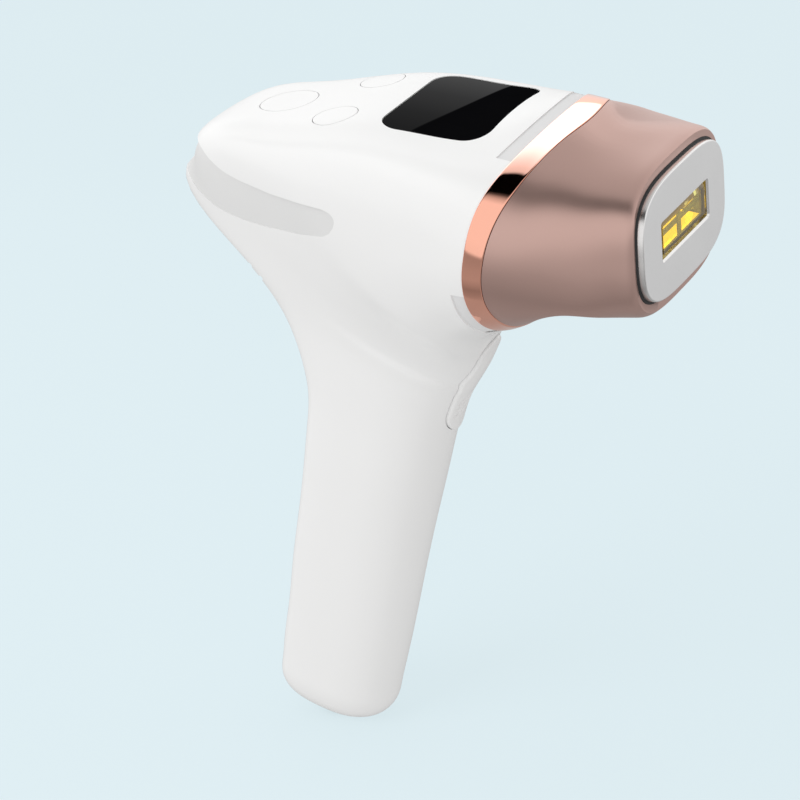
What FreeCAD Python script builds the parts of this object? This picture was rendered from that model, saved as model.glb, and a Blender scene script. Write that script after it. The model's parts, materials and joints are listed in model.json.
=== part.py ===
import FreeCAD, Part
import math
import os

# Handheld intense-pulsed-light hair remover, hammer shaped: a grip leaning forward
# under a long rounded body that carries a pull-off lamp head.
# Frame: origin at the centre of the treatment face (front plane of the cold plate),
# +X straight out of the light window, +Z up, +Y to the device's left. Millimetres.

# ---------------------------------------------------------------- shared dimensions
WALL = 2.2                      # housing wall
LOOP_POINTS = 36                # points round each housing section
FACE_POINTS = 48                # points round each superellipse of the lamp head
WIRE_BEND = 2.5                 # bend radius of the cables

GRIP_AXIS = (0.242, 0.0, 0.970)     # pointing up the grip
GRIP_END_LENGTH = 19.4              # grip length below the first section
GRIP_END_ROUNDING = 10.0            # rounding of the grip end, fore and aft
# heights above the grip's bottom at which the end sections are placed
GRIP_END_STEPS = (0.0, 0.35, 1.3, 3.0, 5.4, 8.6, 13.0)
# front rim of the lamp head: X, how far the section has drawn in
FRONT_RIM = [(-4.1, 0.25), (-2.9, 0.75), (-2.0, 1.55)]

# edges of the metal ring: X at centre, tilt in degrees, sweep back at RING_HALF_WIDTH
RING_BACK = (-35.9, 12.5, 8.3)
RING_FRONT = (-30.3, 13.9, 8.0)
RING_HALF_WIDTH = 33.75
RING_PROUD = 0.25

CHASSIS_TOP = -7.0
BOARD_TOP = CHASSIS_TOP + 5.6   # top face of the main board

CONTACT_YS = (-10, -6, -2, 2, 6, 10)    # socket pins and head contacts
CONTACT_Z = -8.0
CONTACT_BACK = -28.2                    # where the pins meet the head contacts
MAGNET_Y = 20.5                         # magnets, keepers and head screws, each side
MAGNET_RADIUS = 4.0

# housing sections: inner point X, Z; outer point X, Z; half width; seat of the widest
# line (share of the chord); roundness exponents of the inner and outer half
SECTIONS = [
    (-93.85, -149.57, -128.65, -140.89, 11.60, 0.500, 2.20, 2.20),
    (-89.69, -135.72, -125.28, -126.85, 12.00, 0.500, 2.20, 2.20),
    (-85.88, -122.03, -122.44, -112.91, 12.39, 0.500, 2.20, 2.20),
    (-80.06, -101.76, -117.55, -92.41, 12.96, 0.500, 2.20, 2.20),
    (-74.01, -82.23, -113.22, -72.46, 13.52, 0.500, 2.20, 2.20),
    (-72.33, -76.66, -111.94, -66.05, 13.56, 0.498, 2.20, 2.13),
    (-70.39, -70.32, -110.87, -57.94, 13.66, 0.493, 2.21, 2.00),
    (-69.08, -66.27, -111.19, -51.35, 13.81, 0.488, 2.22, 1.88),
    (-67.43, -61.83, -112.68, -43.09, 14.00, 0.482, 2.23, 1.79),
    (-65.97, -58.64, -114.95, -35.81, 14.21, 0.478, 2.24, 1.75),
    (-64.71, -56.35, -118.41, -28.75, 14.56, 0.476, 2.24, 1.76),
    (-63.40, -54.27, -124.28, -19.82, 15.29, 0.475, 2.25, 1.85),
    (-62.07, -52.28, -144.03, -1.07, 16.32, 0.475, 2.25, 2.00),
    (-60.72, -50.20, -140.48, 5.64, 17.98, 0.475, 2.25, 2.20),
    (-59.34, -47.84, -136.11, 13.22, 20.33, 0.475, 2.25, 2.36),
    (-57.97, -44.89, -125.40, 20.23, 23.59, 0.475, 2.25, 2.44),
    (-56.84, -42.17, -110.33, 22.72, 26.96, 0.475, 2.25, 2.51),
    (-55.41, -39.23, -95.71, 25.26, 29.24, 0.476, 2.24, 2.54),
    (-53.41, -36.62, -81.60, 28.20, 31.05, 0.479, 2.22, 2.41),
    (-50.97, -34.72, -68.11, 29.25, 32.54, 0.483, 2.19, 2.19),
    (-48.49, -33.38, -55.56, 28.72, 33.81, 0.489, 2.14, 2.12),
    (-46.12, -32.35, -44.02, 27.85, 34.63, 0.497, 2.09, 2.10),
    (-43.92, -31.49, -33.56, 27.22, 35.11, 0.504, 2.03, 2.09),
    (-42.97, -31.13, -29.08, 26.73, 35.22, 0.508, 2.01, 2.08),
    (-37.35, -27.58, -24.36, 24.64, 35.10, 0.501, 2.36, 2.42),
    (-30.11, -22.77, -21.62, 22.10, 34.79, 0.489, 3.02, 3.04),
    (-22.66, -20.16, -18.40, 20.39, 34.31, 0.481, 3.41, 3.41),
    (-14.00, -20.19, -12.25, 19.62, 32.60, 0.490, 3.40, 3.40),
    (-5.78, -20.40, -5.23, 19.30, 29.60, 0.514, 3.30, 3.30),
]

V = FreeCAD.Vector
X_AXIS, Y_AXIS, Z_AXIS = V(1, 0, 0), V(0, 1, 0), V(0, 0, 1)


# ---------------------------------------------------------------- shape helpers
def box(x0, x1, y0, y1, z0, z1):
    return Part.makeBox(x1 - x0, y1 - y0, z1 - z0, V(x0, y0, z0))


def rod(base, axis, radius, start, end):
    """Cylinder between two distances from base along a unit axis."""
    return Part.makeCylinder(radius, end - start, base + axis * start, axis)


def fuse(first, *others):
    result = first.multiFuse(list(others))
    # merging coplanar faces may fail on some fusions; the unmerged one is then kept
    try:
        result = result.removeSplitter()
    except Exception:
        pass
    return result


def screw(base, axis, shank, head):
    """Shank and head are each (radius, start, end) along the axis."""
    return fuse(rod(base, axis, *shank), rod(base, axis, *head))


def polygon_face(points):
    return Part.Face(Part.makePolygon(points + [points[0]]))


def prism_y(outline, y0, y1):
    """Prism across the device from an outline of (X, Z)."""
    return polygon_face([V(x, y0, z) for x, z in outline]).extrude(V(0, y1 - y0, 0))


def arc_face(arcs):
    """Face bounded by arcs (start, middle, end) joined by straight lines."""
    edges, last = [], arcs[-1][2]
    for start, middle, end in arcs:
        edges.append(Part.makeLine(last, start))
        edges.append(Part.Arc(start, middle, end).toShape())
        last = end
    return Part.Face(Part.Wire(edges))


def superellipse_radius(cosine, sine, half_width, half_height, exponent):
    return ((abs(cosine) / half_width) ** exponent
            + (abs(sine) / half_height) ** exponent) ** (-1.0 / exponent)


def plug(half_width, half_height, exponent, x0, x1, half_below=None):
    """Superellipse block along X; half_below sets a different lower half height."""
    points = []
    for k in range(FACE_POINTS):
        angle = 2 * math.pi * k / FACE_POINTS
        cosine, sine = math.cos(angle), math.sin(angle)
        height = half_height if sine >= 0 or half_below is None else half_below
        radius = superellipse_radius(cosine, sine, half_width, height, exponent)
        points.append(V(x0, radius * cosine, radius * sine))
    curve = Part.BSplineCurve()
    curve.interpolate(Points=points, PeriodicFlag=True)
    return Part.Face(Part.Wire([curve.toShape()])).extrude(V(x1 - x0, 0, 0))


def wire_tube(points, radius):
    """Round wire through the points: straight runs joined by circular bends."""
    points = [V(*p) for p in points]
    edges, last = [], points[0]
    for before, corner, after in zip(points, points[1:], points[2:]):
        back, ahead = before - corner, after - corner
        back_length, ahead_length = back.Length, ahead.Length
        back.normalize()
        ahead.normalize()
        half_angle = back.getAngle(ahead) / 2
        setback = min(WIRE_BEND / math.tan(half_angle), 0.4 * back_length, 0.4 * ahead_length)
        bend = setback * math.tan(half_angle)
        inward = back + ahead
        inward.normalize()
        middle = corner + inward * (bend / math.sin(half_angle) - bend)
        start, end = corner + back * setback, corner + ahead * setback
        edges.append(Part.makeLine(last, start))
        edges.append(Part.Arc(start, middle, end).toShape())
        last = end
    edges.append(Part.makeLine(last, points[-1]))
    circle = Part.Wire([Part.makeCircle(radius, points[0], points[1] - points[0])])
    return Part.Wire(edges).makePipeShell([circle], True, False)


class Frame:
    """Local frame: u in the XZ plane, v along +Y, w along the given axis."""

    def __init__(self, x, z, w_axis, u_sign=1):
        self.origin = V(x, 0, z)
        self.w = V(*w_axis)
        self.w.normalize()
        self.u = V(self.w.z, 0, -self.w.x) * u_sign

    def at(self, u, v, w):
        return self.origin + self.u * u + Y_AXIS * v + self.w * w

    def box(self, u0, u1, v0, v1, w0, w1):
        base = [self.at(u, v, w0) for u, v in ((u0, v0), (u1, v0), (u1, v1), (u0, v1))]
        return polygon_face(base).extrude(self.w * (w1 - w0))

    def rod(self, u, v, radius, w0, w1):
        return rod(self.at(u, v, 0), self.w, radius, w0, w1)

    def screw(self, u, v, shank, head):
        return screw(self.at(u, v, 0), self.w, shank, head)


PIECES = {}


def put(name, *shapes):
    """Register a piece: a lone solid as itself, several as a compound."""
    solids = [solid for shape in shapes for solid in shape.Solids]
    PIECES[name] = solids[0] if len(solids) == 1 else Part.makeCompound(solids)


# ---------------------------------------------------------------- housing skins
def section_loop(row, offset):
    """Points round one section, grown by offset."""
    x_in, z_in, x_out, z_out, half_width, seat, power_in, power_out = row
    chord = math.hypot(x_out - x_in, z_out - z_in)
    ux, uz = (x_out - x_in) / chord, (z_out - z_in) / chord
    inner = (seat * chord + offset, power_in)
    outer = ((1 - seat) * chord + offset, power_out)
    cx, cz = x_in + ux * seat * chord, z_in + uz * seat * chord
    points = []
    for k in range(LOOP_POINTS):
        angle = -math.pi / 2 + 2 * math.pi * k / LOOP_POINTS
        cosine, sine = math.cos(angle), math.sin(angle)
        height, exponent = inner if sine < 0 else outer
        r = superellipse_radius(cosine, sine, half_width + offset, height, exponent)
        points.append(V(cx + ux * r * sine, r * cosine, cz + uz * r * sine))
    return points


def grip_end_loops(offset):
    """Rounded lower end of the grip; an inset skin also ends higher by the inset."""
    x_in, z_in, x_out, z_out, half_width, seat, power_in, power_out = SECTIONS[0]
    chord = math.hypot(x_out - x_in, z_out - z_in)
    ux, uz = (x_out - x_in) / chord, (z_out - z_in) / chord
    loops = []
    for step in GRIP_END_STEPS:
        inset = 0.0
        if step < GRIP_END_ROUNDING:
            rise = GRIP_END_ROUNDING - step
            inset = GRIP_END_ROUNDING - math.sqrt(GRIP_END_ROUNDING ** 2 - rise ** 2)
        below = GRIP_END_LENGTH - step
        trim = inset + below * 0.045
        dx, dz = -GRIP_AXIS[0] * (below + offset), -GRIP_AXIS[2] * (below + offset)
        row = (x_in + ux * trim + dx, z_in + uz * trim + dz,
               x_out - ux * trim + dx, z_out - uz * trim + dz,
               half_width - 0.62 * inset - below * 0.02, seat, power_in, power_out)
        loops.append(section_loop(row, offset))
    return loops


def front_rim_loops(offset):
    """Rounded front rim of the lamp head running in towards the treatment plate."""
    _, z_in, _, z_out, half_width, seat, power_in, power_out = SECTIONS[-1]
    return [section_loop((x, z_in + draw * 0.9, x, z_out - draw * 0.55, half_width - draw,
                          seat + (0.5 - seat) * 0.2, power_in, power_out), offset)
            for x, draw in FRONT_RIM]


def running_shares(steps):
    """Running total of the steps, scaled to end at 1."""
    totals = [0.0]
    for step in steps:
        totals.append(totals[-1] + step)
    return [total / totals[-1] for total in totals]


def spline(points, parameters, periodic):
    curve = Part.BSplineCurve()
    curve.interpolate(Points=points, PeriodicFlag=periodic, Parameters=parameters)
    return curve


def skin(loops):
    """Closed smooth solid through planar loops, capped flat at both ends."""
    count, last = len(loops[0]), len(loops)
    shares = [0.0] * count
    for ring in loops:
        sides = [ring[i].distanceToPoint(ring[(i + 1) % count]) for i in range(count)]
        total = sum(sides)
        for i in range(count):
            shares[i] += sides[i] / total / last
    around = running_shares(shares)
    along = running_shares(
        [sum(here[i].distanceToPoint(before[i]) for i in range(count)) / count
         for before, here in zip(loops, loops[1:])])
    rings = [spline(ring, around, True) for ring in loops]
    ring_poles = [ring.getPoles() for ring in rings]
    runs = [spline([poles[i] for poles in ring_poles], along, False)
            for i in range(len(ring_poles[0]))]
    ring, run = rings[-1], runs[-1]
    surface = Part.BSplineSurface()
    surface.buildFromPolesMultsKnots(
        [curve.getPoles() for curve in runs],
        ring.getMultiplicities(), run.getMultiplicities(),
        ring.getKnots(), run.getKnots(), True, False, ring.Degree, run.Degree)
    caps = [Part.Face(Part.Wire([surface.vIso(v).toShape()])) for v in (0.0, 1.0)]
    shell = Part.makeShell([surface.toShape()] + caps)
    shell.sewShape()
    solid = Part.makeSolid(shell)
    if solid.Volume < 0:
        solid.reverse()
    return solid


def full_skin(offset):
    return skin(grip_end_loops(offset) + [section_loop(row, offset) for row in SECTIONS]
                + front_rim_loops(offset))


def part_skin(offset, first, last=None, rim=False):
    """Skin through SECTIONS[first:last] only, with or without the front rim."""
    loops = [section_loop(row, offset) for row in SECTIONS[first:last]]
    return skin(loops + (front_rim_loops(offset) if rim else []))


def ahead_of(edge, shift=0.0):
    """Everything forward of one swept, tilted edge surface of the metal ring."""
    x_centre, tilt, sweep = edge
    slope = math.tan(math.radians(tilt))
    half_y, half_z, far_x = 60.0, 90.0, 140.0
    x0 = x_centre + shift - slope * half_z
    bow = sweep / RING_HALF_WIDTH ** 2 * half_y * half_y
    right, left = V(x0 - bow, -half_y, -half_z), V(x0 - bow, half_y, -half_z)
    far_left, far_right = V(far_x, half_y, -half_z), V(far_x, -half_y, -half_z)
    curve = Part.BezierCurve()
    curve.setPoles([right, V(x0 + bow, 0, -half_z), left])
    wire = Part.Wire([curve.toShape(), Part.makeLine(left, far_left),
                      Part.makeLine(far_left, far_right), Part.makeLine(far_right, right)])
    return Part.Face(wire).extrude(V(slope * 2 * half_z, 0, 2 * half_z))


OUTER = full_skin(0)
INNER = full_skin(-WALL)
BOARD_ROOM = part_skin(-WALL - 0.8, 3)      # space the circuit boards are trimmed to
AHEAD_OF_RING_BACK = ahead_of(RING_BACK)
AHEAD_OF_RING_FRONT = ahead_of(RING_FRONT)


# ---------------------------------------------------------------- ring and inlays
# edge of the rear wrap band as (X, Z): upper edge from the tail, round the front end,
# lower edge back to the tail
BAND_EDGE = [
    (-160.0, 13.4), (-132.6, 10.7), (-120.2, 8.7), (-108.9, 7.4), (-94.9, 5.8),
    (-88.0, 5.2), (-85.6, 4.6), (-84.3, 3.4), (-84.0, 1.9), (-84.7, 0.4),
    (-86.6, -2.0), (-88.9, -3.4), (-97.0, -4.8), (-112.3, -6.4), (-124.4, -6.6),
    (-132.2, -5.9), (-160.0, -4.4)]
BAND_POCKET, BAND_SUNK = 1.5, 0.55      # pocket depth, face below the skin
PAD_POCKET, PAD_SUNK = 1.5, 0.3
# grip pads behind the ring: name, length back from the ring, half width, Z range
PADS = [("top_grip_pad", 4.2, 23.5, 10, 40),
        ("lower_grip_pads", 4.0, 60, -29.0, -12.6)]


def make_head_ring():
    blank = part_skin(RING_PROUD, 12, rim=True).cut(INNER)
    put("head_ring", blank.common(AHEAD_OF_RING_BACK).cut(AHEAD_OF_RING_FRONT))


def add_inlay(body, name, floor_skin, face_skin, zone):
    """Make the inlay within the zone and return the body with its pocket."""
    pocket = OUTER.cut(floor_skin).common(zone)
    put(name, face_skin.cut(floor_skin).common(zone))
    return body.cut(pocket)


def add_rear_band(body):
    return add_inlay(body, "rear_band", full_skin(-BAND_POCKET), full_skin(-BAND_SUNK),
                     prism_y(BAND_EDGE, -60, 60))


def add_grip_pads(body):
    floor_skin = part_skin(-PAD_POCKET, 10, rim=True)
    face_skin = part_skin(-PAD_SUNK, 10, rim=True)
    for name, length, half_width, z0, z1 in PADS:
        strip = ahead_of(RING_BACK, -length).cut(AHEAD_OF_RING_BACK)
        zone = strip.common(box(-70, 0, -half_width, half_width, z0, z1))
        body = add_inlay(body, name, floor_skin, face_skin, zone)
    return body


# ---------------------------------------------------------------- display
DISPLAY_X = (-75.0, -44.8)          # window, back to front
DISPLAY_HALF_WIDTH = 19.6
DISPLAY_CORNER = 6.5
DISPLAY_LEDGE = 2.5                 # ledge under the lens rim
DISPLAY_BOARD_TOP = 20.0
DISPLAY_BOARD_T = 1.6
LENS_T = 1.6
PILLAR_XS = (DISPLAY_X[0] - 1.5, DISPLAY_X[1] - 0.5)
PILLAR_Y = 17.0
SMALL_PILOT = 0.95                  # radius of the cover screws and their pilot holes


def display_prism(inset, corner):
    """Upright rounded rectangle in the shape of the window, drawn in by inset."""
    x0, x1 = DISPLAY_X[0] + inset, DISPLAY_X[1] - inset
    y1 = DISPLAY_HALF_WIDTH - inset
    y0 = -y1
    r, k = corner, corner * (1 - math.sqrt(0.5))
    corners = [((x1 - r, y0), (x1 - k, y0 + k), (x1, y0 + r)),
               ((x1, y1 - r), (x1 - k, y1 - k), (x1 - r, y1)),
               ((x0 + r, y1), (x0 + k, y1 - k), (x0, y1 - r)),
               ((x0, y0 + r), (x0 + k, y0 + k), (x0 + r, y0))]
    arcs = [[V(x, y, 5) for x, y in arc] for arc in corners]
    return arc_face(arcs).extrude(V(0, 0, 40))


def add_display(cover):
    """Lens, display cell and board; returns the cover and the board's screws."""
    window = display_prism(0, DISPLAY_CORNER)
    lens_floor = part_skin(-LENS_T, 5, rim=True)
    put("display_lens", OUTER.cut(lens_floor).common(window))
    cover = cover.cut(window.cut(lens_floor))
    cover = cover.cut(display_prism(DISPLAY_LEDGE, DISPLAY_CORNER - 1.5))

    z, x0, x1 = DISPLAY_BOARD_TOP, DISPLAY_X[0] + 5.5, DISPLAY_X[1] - 4.0
    put("display_module", fuse(box(x0, x1, -13.5, 13.5, z, z + 2.4),
                               box(x0 + 1.5, x1 - 1.5, -12, 12, z + 2.4, z + 3.0)))
    board = box(PILLAR_XS[0] - 3.2, PILLAR_XS[1] + 2.6, -19.4, 19.4, z - DISPLAY_BOARD_T, z)
    board = board.common(part_skin(-WALL - 0.4, 3))
    feet = [V(x, y, z) for x in PILLAR_XS for y in (-PILLAR_Y, PILLAR_Y)]
    cover = fuse(cover, *[rod(foot, Z_AXIS, 2.3, 0, 25).common(INNER) for foot in feet])
    for foot in feet:
        pilot = rod(foot, Z_AXIS, SMALL_PILOT, -5, 2.2)
        cover = cover.cut(pilot)
        board = board.cut(pilot)
    put("display_board", board)
    screws = [screw(foot, Z_AXIS, (SMALL_PILOT, -DISPLAY_BOARD_T, 2.1),
                    (1.9, -3.0, -DISPLAY_BOARD_T)) for foot in feet]
    return cover, screws


# ---------------------------------------------------------------- buttons
# u forward, v left, w out along the press line; origin mid top face of the button board
BUTTONS = Frame(-97.0, 12.5, (-0.19, 0.0, 0.982))
# name, u, v, radius, height of the retaining flange's top, depth of the hollow
BUTTON_TABLE = [("power_button", -8.3, 0.0, 7.8, 9.2, 1.2),
                ("mode_button", 10.4, -13.2, 5.9, 4.6, 2.4),
                ("level_button", 10.4, 13.2, 5.9, 4.6, 2.4)]
BUTTON_GAP = 0.08
BUTTON_WALL = 1.4
FLANGE_T, FLANGE_LIP, FLANGE_GAP = 0.8, 0.9, 0.2
BUTTON_BOARD_T = 1.6
KEYPAD_T = 0.8
DOME_H = 1.5
BUTTON_POSTS = [(4.2, 0.0), (-12.0, 13.0), (-12.0, -13.0)]      # u, v


def add_buttons(cover):
    """Buttons, keypad and board; returns the cover and the board's screws."""
    f = BUTTONS
    keypad = f.box(-16.5, 16.0, -18.5, 18.5, 0.0, KEYPAD_T).common(BOARD_ROOM)
    board = f.box(-17.5, 17.0, -19.5, 19.5, -BUTTON_BOARD_T, 0.0).common(BOARD_ROOM)
    contacts = []
    for name, u, v, radius, flange_top, hollow in BUTTON_TABLE:
        lip = radius + FLANGE_LIP
        cap = OUTER.common(f.rod(u, v, radius, flange_top, 40))
        cap = cap.cut(f.rod(u, v, radius - BUTTON_WALL, flange_top, flange_top + hollow))
        flange = f.rod(u, v, lip, flange_top - FLANGE_T, flange_top)
        stem = f.rod(u, v, 1.5, KEYPAD_T + DOME_H, flange_top + hollow)
        put(name, fuse(cap, flange, stem))
        cover = cover.cut(f.rod(u, v, radius + BUTTON_GAP, flange_top - 3, 40))
        # seat for the retaining flange
        cover = cover.cut(f.rod(u, v, lip + FLANGE_GAP, flange_top - 3, flange_top + 0.12))
        keypad = fuse(keypad, Part.makeCone(3.8, 2.4, DOME_H, f.at(u, v, KEYPAD_T), f.w))
        keypad = keypad.cut(f.rod(u, v, 1.9, 0.0, 1.7))
        contacts.append(f.rod(u, v, 1.3, 0.0, 0.4))
    cover = fuse(cover, *[f.rod(u, v, 2.2, KEYPAD_T, 30).common(INNER)
                          for u, v in BUTTON_POSTS])
    for u, v in BUTTON_POSTS:
        pilot = f.rod(u, v, SMALL_PILOT, -3.0, 4.2)
        cover, keypad, board = cover.cut(pilot), keypad.cut(pilot), board.cut(pilot)
    put("button_board", fuse(board, *contacts))
    put("button_keypad", keypad)
    screws = [f.screw(u, v, (SMALL_PILOT, -BUTTON_BOARD_T, 4.2),
                      (1.8, -2.9, -BUTTON_BOARD_T)) for u, v in BUTTON_POSTS]
    return cover, screws


# ---------------------------------------------------------------- flash trigger
# u up the grip, v left, w out of the grip front; origin at the trigger's centre
TRIGGER = Frame(-62.6, -53.7, (0.875, 0.0, -0.484), u_sign=-1)
TRIGGER_HALF_LENGTH, TRIGGER_HALF_WIDTH = 16.0, 5.6
TRIGGER_GAP = 0.09
TRIGGER_PROUD = 0.9
TRIGGER_LIP = 1.2               # retaining flange beyond the trigger's outline
PRESS_U = -2                    # where the pusher meets the switch
PUSHER_TIP = -6.6
SWITCH_TOP = -8.0
SWITCH_BASE = SWITCH_TOP - 4.0  # top of the trigger board
GROOVES = [(-9.2, 0.8), (-7.2, 0.6), (-5.2, 0.5)]       # u of the middle, w of the axis
SPRING_US = (-10.5, 9.5)
SPRING_R, SPRING_WIRE_R, SPRING_H, SPRING_TURNS = 1.9, 0.28, 7.0, 6


def trigger_block(margin, w0, w1):
    """Round-ended block, long up the grip, grown by margin."""
    tip, side = TRIGGER_HALF_LENGTH + margin, TRIGGER_HALF_WIDTH + margin
    run = tip - side

    def at(u, v):
        return TRIGGER.at(u, v, w0)

    arcs = [(at(run, -side), at(tip, 0), at(run, side)),
            (at(-run, side), at(-tip, 0), at(-run, -side))]
    return arc_face(arcs).extrude(TRIGGER.w * (w1 - w0))


def coil_spring(base, axis):
    pitch = (SPRING_H - 2 * SPRING_WIRE_R) / SPRING_TURNS
    helix = Part.makeHelix(pitch, pitch * SPRING_TURNS, SPRING_R)
    profile = Part.Wire([Part.makeCircle(SPRING_WIRE_R, V(SPRING_R, 0, 0), V(0, 1, 0.12))])
    spring = Part.Wire(helix.Edges).makePipeShell([profile], True, True)
    spring.translate(V(0, 0, SPRING_WIRE_R))
    turn = FreeCAD.Placement(base, FreeCAD.Rotation(Z_AXIS, axis))
    spring.Placement = turn.multiply(spring.Placement)
    return spring


def add_trigger(lower):
    """Trigger, switch and springs; returns the lower housing with its opening."""
    f = TRIGGER
    face_skin, flange_skin, back_skin = [
        part_skin(offset, 2, 22) for offset in (TRIGGER_PROUD, -WALL - 0.3, -WALL - 1.3)]
    button = trigger_block(0, -12, 12).common(face_skin.cut(back_skin))
    flange = trigger_block(TRIGGER_LIP, -12, 12).common(flange_skin.cut(back_skin))
    pusher = f.rod(PRESS_U, 0, 1.6, PUSHER_TIP, PUSHER_TIP + 4.0)
    button = fuse(button, flange, pusher)
    # shallow slanting finger grooves in the outer face
    for u, w in GROOVES:
        slant = f.u * 5.2 + Y_AXIS * 6.8 * 0.72
        button = button.cut(Part.makeCylinder(0.42, 7.0, f.at(u - 2.6, -3.4, w), slant))
    put("flash_trigger", button)
    put("trigger_board", f.box(-13.5, 13.5, -6.2, 6.2, SWITCH_BASE - 1.6, SWITCH_BASE))
    put("trigger_switch", fuse(f.box(-5.2, 1.2, -3.2, 3.2, SWITCH_BASE, SWITCH_TOP - 0.6),
                               f.rod(PRESS_U, 0, 1.7, SWITCH_TOP - 0.6, SWITCH_TOP)))
    put("trigger_springs", *[coil_spring(f.at(u, 0, SWITCH_BASE), f.w) for u in SPRING_US])
    return lower.cut(trigger_block(TRIGGER_GAP, -9, 14))


# ---------------------------------------------------------------- power jack
GRIP_UP = V(*GRIP_AXIS)
GRIP_UP.normalize()
GRIP_BOTTOM = (V((SECTIONS[0][0] + SECTIONS[0][2]) / 2, 0,
                 (SECTIONS[0][1] + SECTIONS[0][3]) / 2) - V(*GRIP_AXIS) * GRIP_END_LENGTH)
JACK_OUTER_R, JACK_BORE_R = 4.2, 2.85
JACK_PIN_R = 1.0
JACK_PIN_START = 4.0            # how deep the pin's tip sits


def add_power_jack(lower):
    """Jack in the grip's lower end; returns the lower housing with its hole."""
    def along_grip(radius, start, end):
        return rod(GRIP_BOTTOM, GRIP_UP, radius, start, end)

    tip_centre = JACK_PIN_START + 0.8
    jack = along_grip(JACK_OUTER_R, 0, 13).cut(along_grip(JACK_BORE_R, -0.001, 9.999))
    pin = fuse(along_grip(JACK_PIN_R, tip_centre, tip_centre + 9.0),
               Part.makeSphere(JACK_PIN_R, GRIP_BOTTOM + GRIP_UP * tip_centre))
    pin = pin.common(along_grip(1.2, JACK_PIN_START + 0.1, JACK_PIN_START + 20.1))
    put("power_jack", jack.cut(pin))
    put("jack_contacts", pin, rod(GRIP_BOTTOM + V(-2.2, 0, 0), GRIP_UP, 0.6, 13.56, 14.06))
    return lower.cut(along_grip(JACK_OUTER_R, -2, 14))


# ---------------------------------------------------------------- fan frame and slots
# u forward and down, v left, w forward and up; origin at the fan's centre
FAN = Frame(-108.6, -11.2, (0.78, 0.0, 0.625))
FAN_HALF = 12.5
FAN_BACK, FAN_FRONT = -4.0, 4.0
FAN_BEARING_R = 1.8
FAN_SCREW_R = 1.0
SLOTS = [(-4.4, 9.0), (0.1, 13.6), (4.6, 13.6), (9.0, 9.0)]     # u, half length
SLOT_HALF = 0.8


def make_fan():
    f, back, front = FAN, FAN_BACK, FAN_FRONT
    frame = f.box(-FAN_HALF, FAN_HALF, -FAN_HALF, FAN_HALF, back, front)
    frame = frame.cut(f.rod(0, 0, FAN_HALF - 1.4, back - 1, front + 1))
    struts = []
    for k in range(3):
        strut = f.box(0, FAN_HALF - 1.0, -0.9, 0.9, back, back + 1.0)
        strut.rotate(f.origin, f.w, 90 + 120 * k)
        struts.append(strut)
    frame = fuse(frame, f.rod(0, 0, 6.2, back, back + 1.0),
                 f.rod(0, 0, FAN_BEARING_R, back + 1.0, front - 2.2), *struts)
    screws = []
    corner = FAN_HALF - 2.6
    for u in (-corner, corner):
        for v in (-corner, corner):
            frame = frame.cut(f.rod(u, v, FAN_SCREW_R, back - 1, front + 1))
            screws.append(f.screw(u, v, (FAN_SCREW_R, back - 2.0, front + 1.6),
                                  (1.9, front, front + 1.4)))
    put("fan_frame", frame)
    put("fan_screws", *screws)
    put("fan_coil", f.rod(0, 0, 4.4, back + 1.2, front - 3.2).cut(
        f.rod(0, 0, FAN_BEARING_R, back - 1, front)))

    hub = f.rod(0, 0, 6.0, back + 1.3, front - 0.5)
    hub = hub.cut(f.rod(0, 0, 5.1, back + 1.0, front - 2.0))
    hub = fuse(hub, f.rod(0, 0, 3.0, front - 3.0, front - 2.0))
    hub = hub.cut(f.rod(0, 0, FAN_BEARING_R + 0.03, back, front - 2.0))
    blades = []
    for k in range(7):
        root = [f.at(u, 5.7, w) for u, w in ((0, back + 1.5), (0.9, back + 1.5),
                                             (4.6, front - 0.9), (3.7, front - 0.9))]
        blade = polygon_face(root).extrude(Y_AXIS * 7.0)
        blade.rotate(f.origin, f.w, 360.0 * k / 7)
        blades.append(blade.common(f.rod(0, 0, FAN_HALF - 1.9, back, front)))
    put("fan_rotor", fuse(hub, *blades))


# ---------------------------------------------------------------- housing halves
SEAM = [(-170, 4.3), (-100, 6.3), (-60, 7.4), (20, 12.0)]      # X, Z of the cover's joint
# screw bosses joining the halves: X, Z, Y of the seat under the screw head
BOSSES = [(-107.6, -149.4, 4.0), (-86.5, -88.0, 5.0), (-103.5, -49.0, 5.0),
          (-133.0, -2.6, 5.0), (-58.0, -26.0, 6.0)]
BOSS_R, BOSS_SCREW_R = 3.1, 1.1


def boss_rod(x, z, radius, y0, y1):
    return rod(V(x, 0, z), Y_AXIS, radius, y0, y1)


def make_housing_halves(lower):
    # exhaust slots in the low rear wall, behind the fan
    for u, half in SLOTS:
        lower = lower.cut(FAN.box(u - SLOT_HALF, u + SLOT_HALF, -half, half,
                                  -30, FAN_BACK - 0.5))
    for name, y0, y1 in (("housing_right", -60, 0), ("housing_left", 0, 60)):
        half = lower.common(box(-200, 60, y0, y1, -220, 60))
        half = fuse(half, *[boss_rod(x, z, BOSS_R, y0, y1).common(INNER)
                            for x, z, _ in BOSSES])
        for x, z, seat in BOSSES:
            half = half.cut(boss_rod(x, z, 2.3, seat, seat + 60))
            half = half.cut(boss_rod(x, z, BOSS_SCREW_R, -6.5, seat))
        put(name, half)


def make_housing_screws():
    """Cross-head screws, entered from the left."""
    screws = []
    for x, z, seat in BOSSES:
        body = screw(V(x, 0, z), Y_AXIS, (BOSS_SCREW_R, -6.4, seat), (2.1, seat, seat + 1.9))
        for half_x, half_z in ((1.4, 0.3), (0.3, 1.4)):
            body = body.cut(box(x - half_x, x + half_x, seat + 1.0, seat + 3,
                                z - half_z, z + half_z))
        screws.append(body)
    put("housing_screws", *screws)


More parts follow.
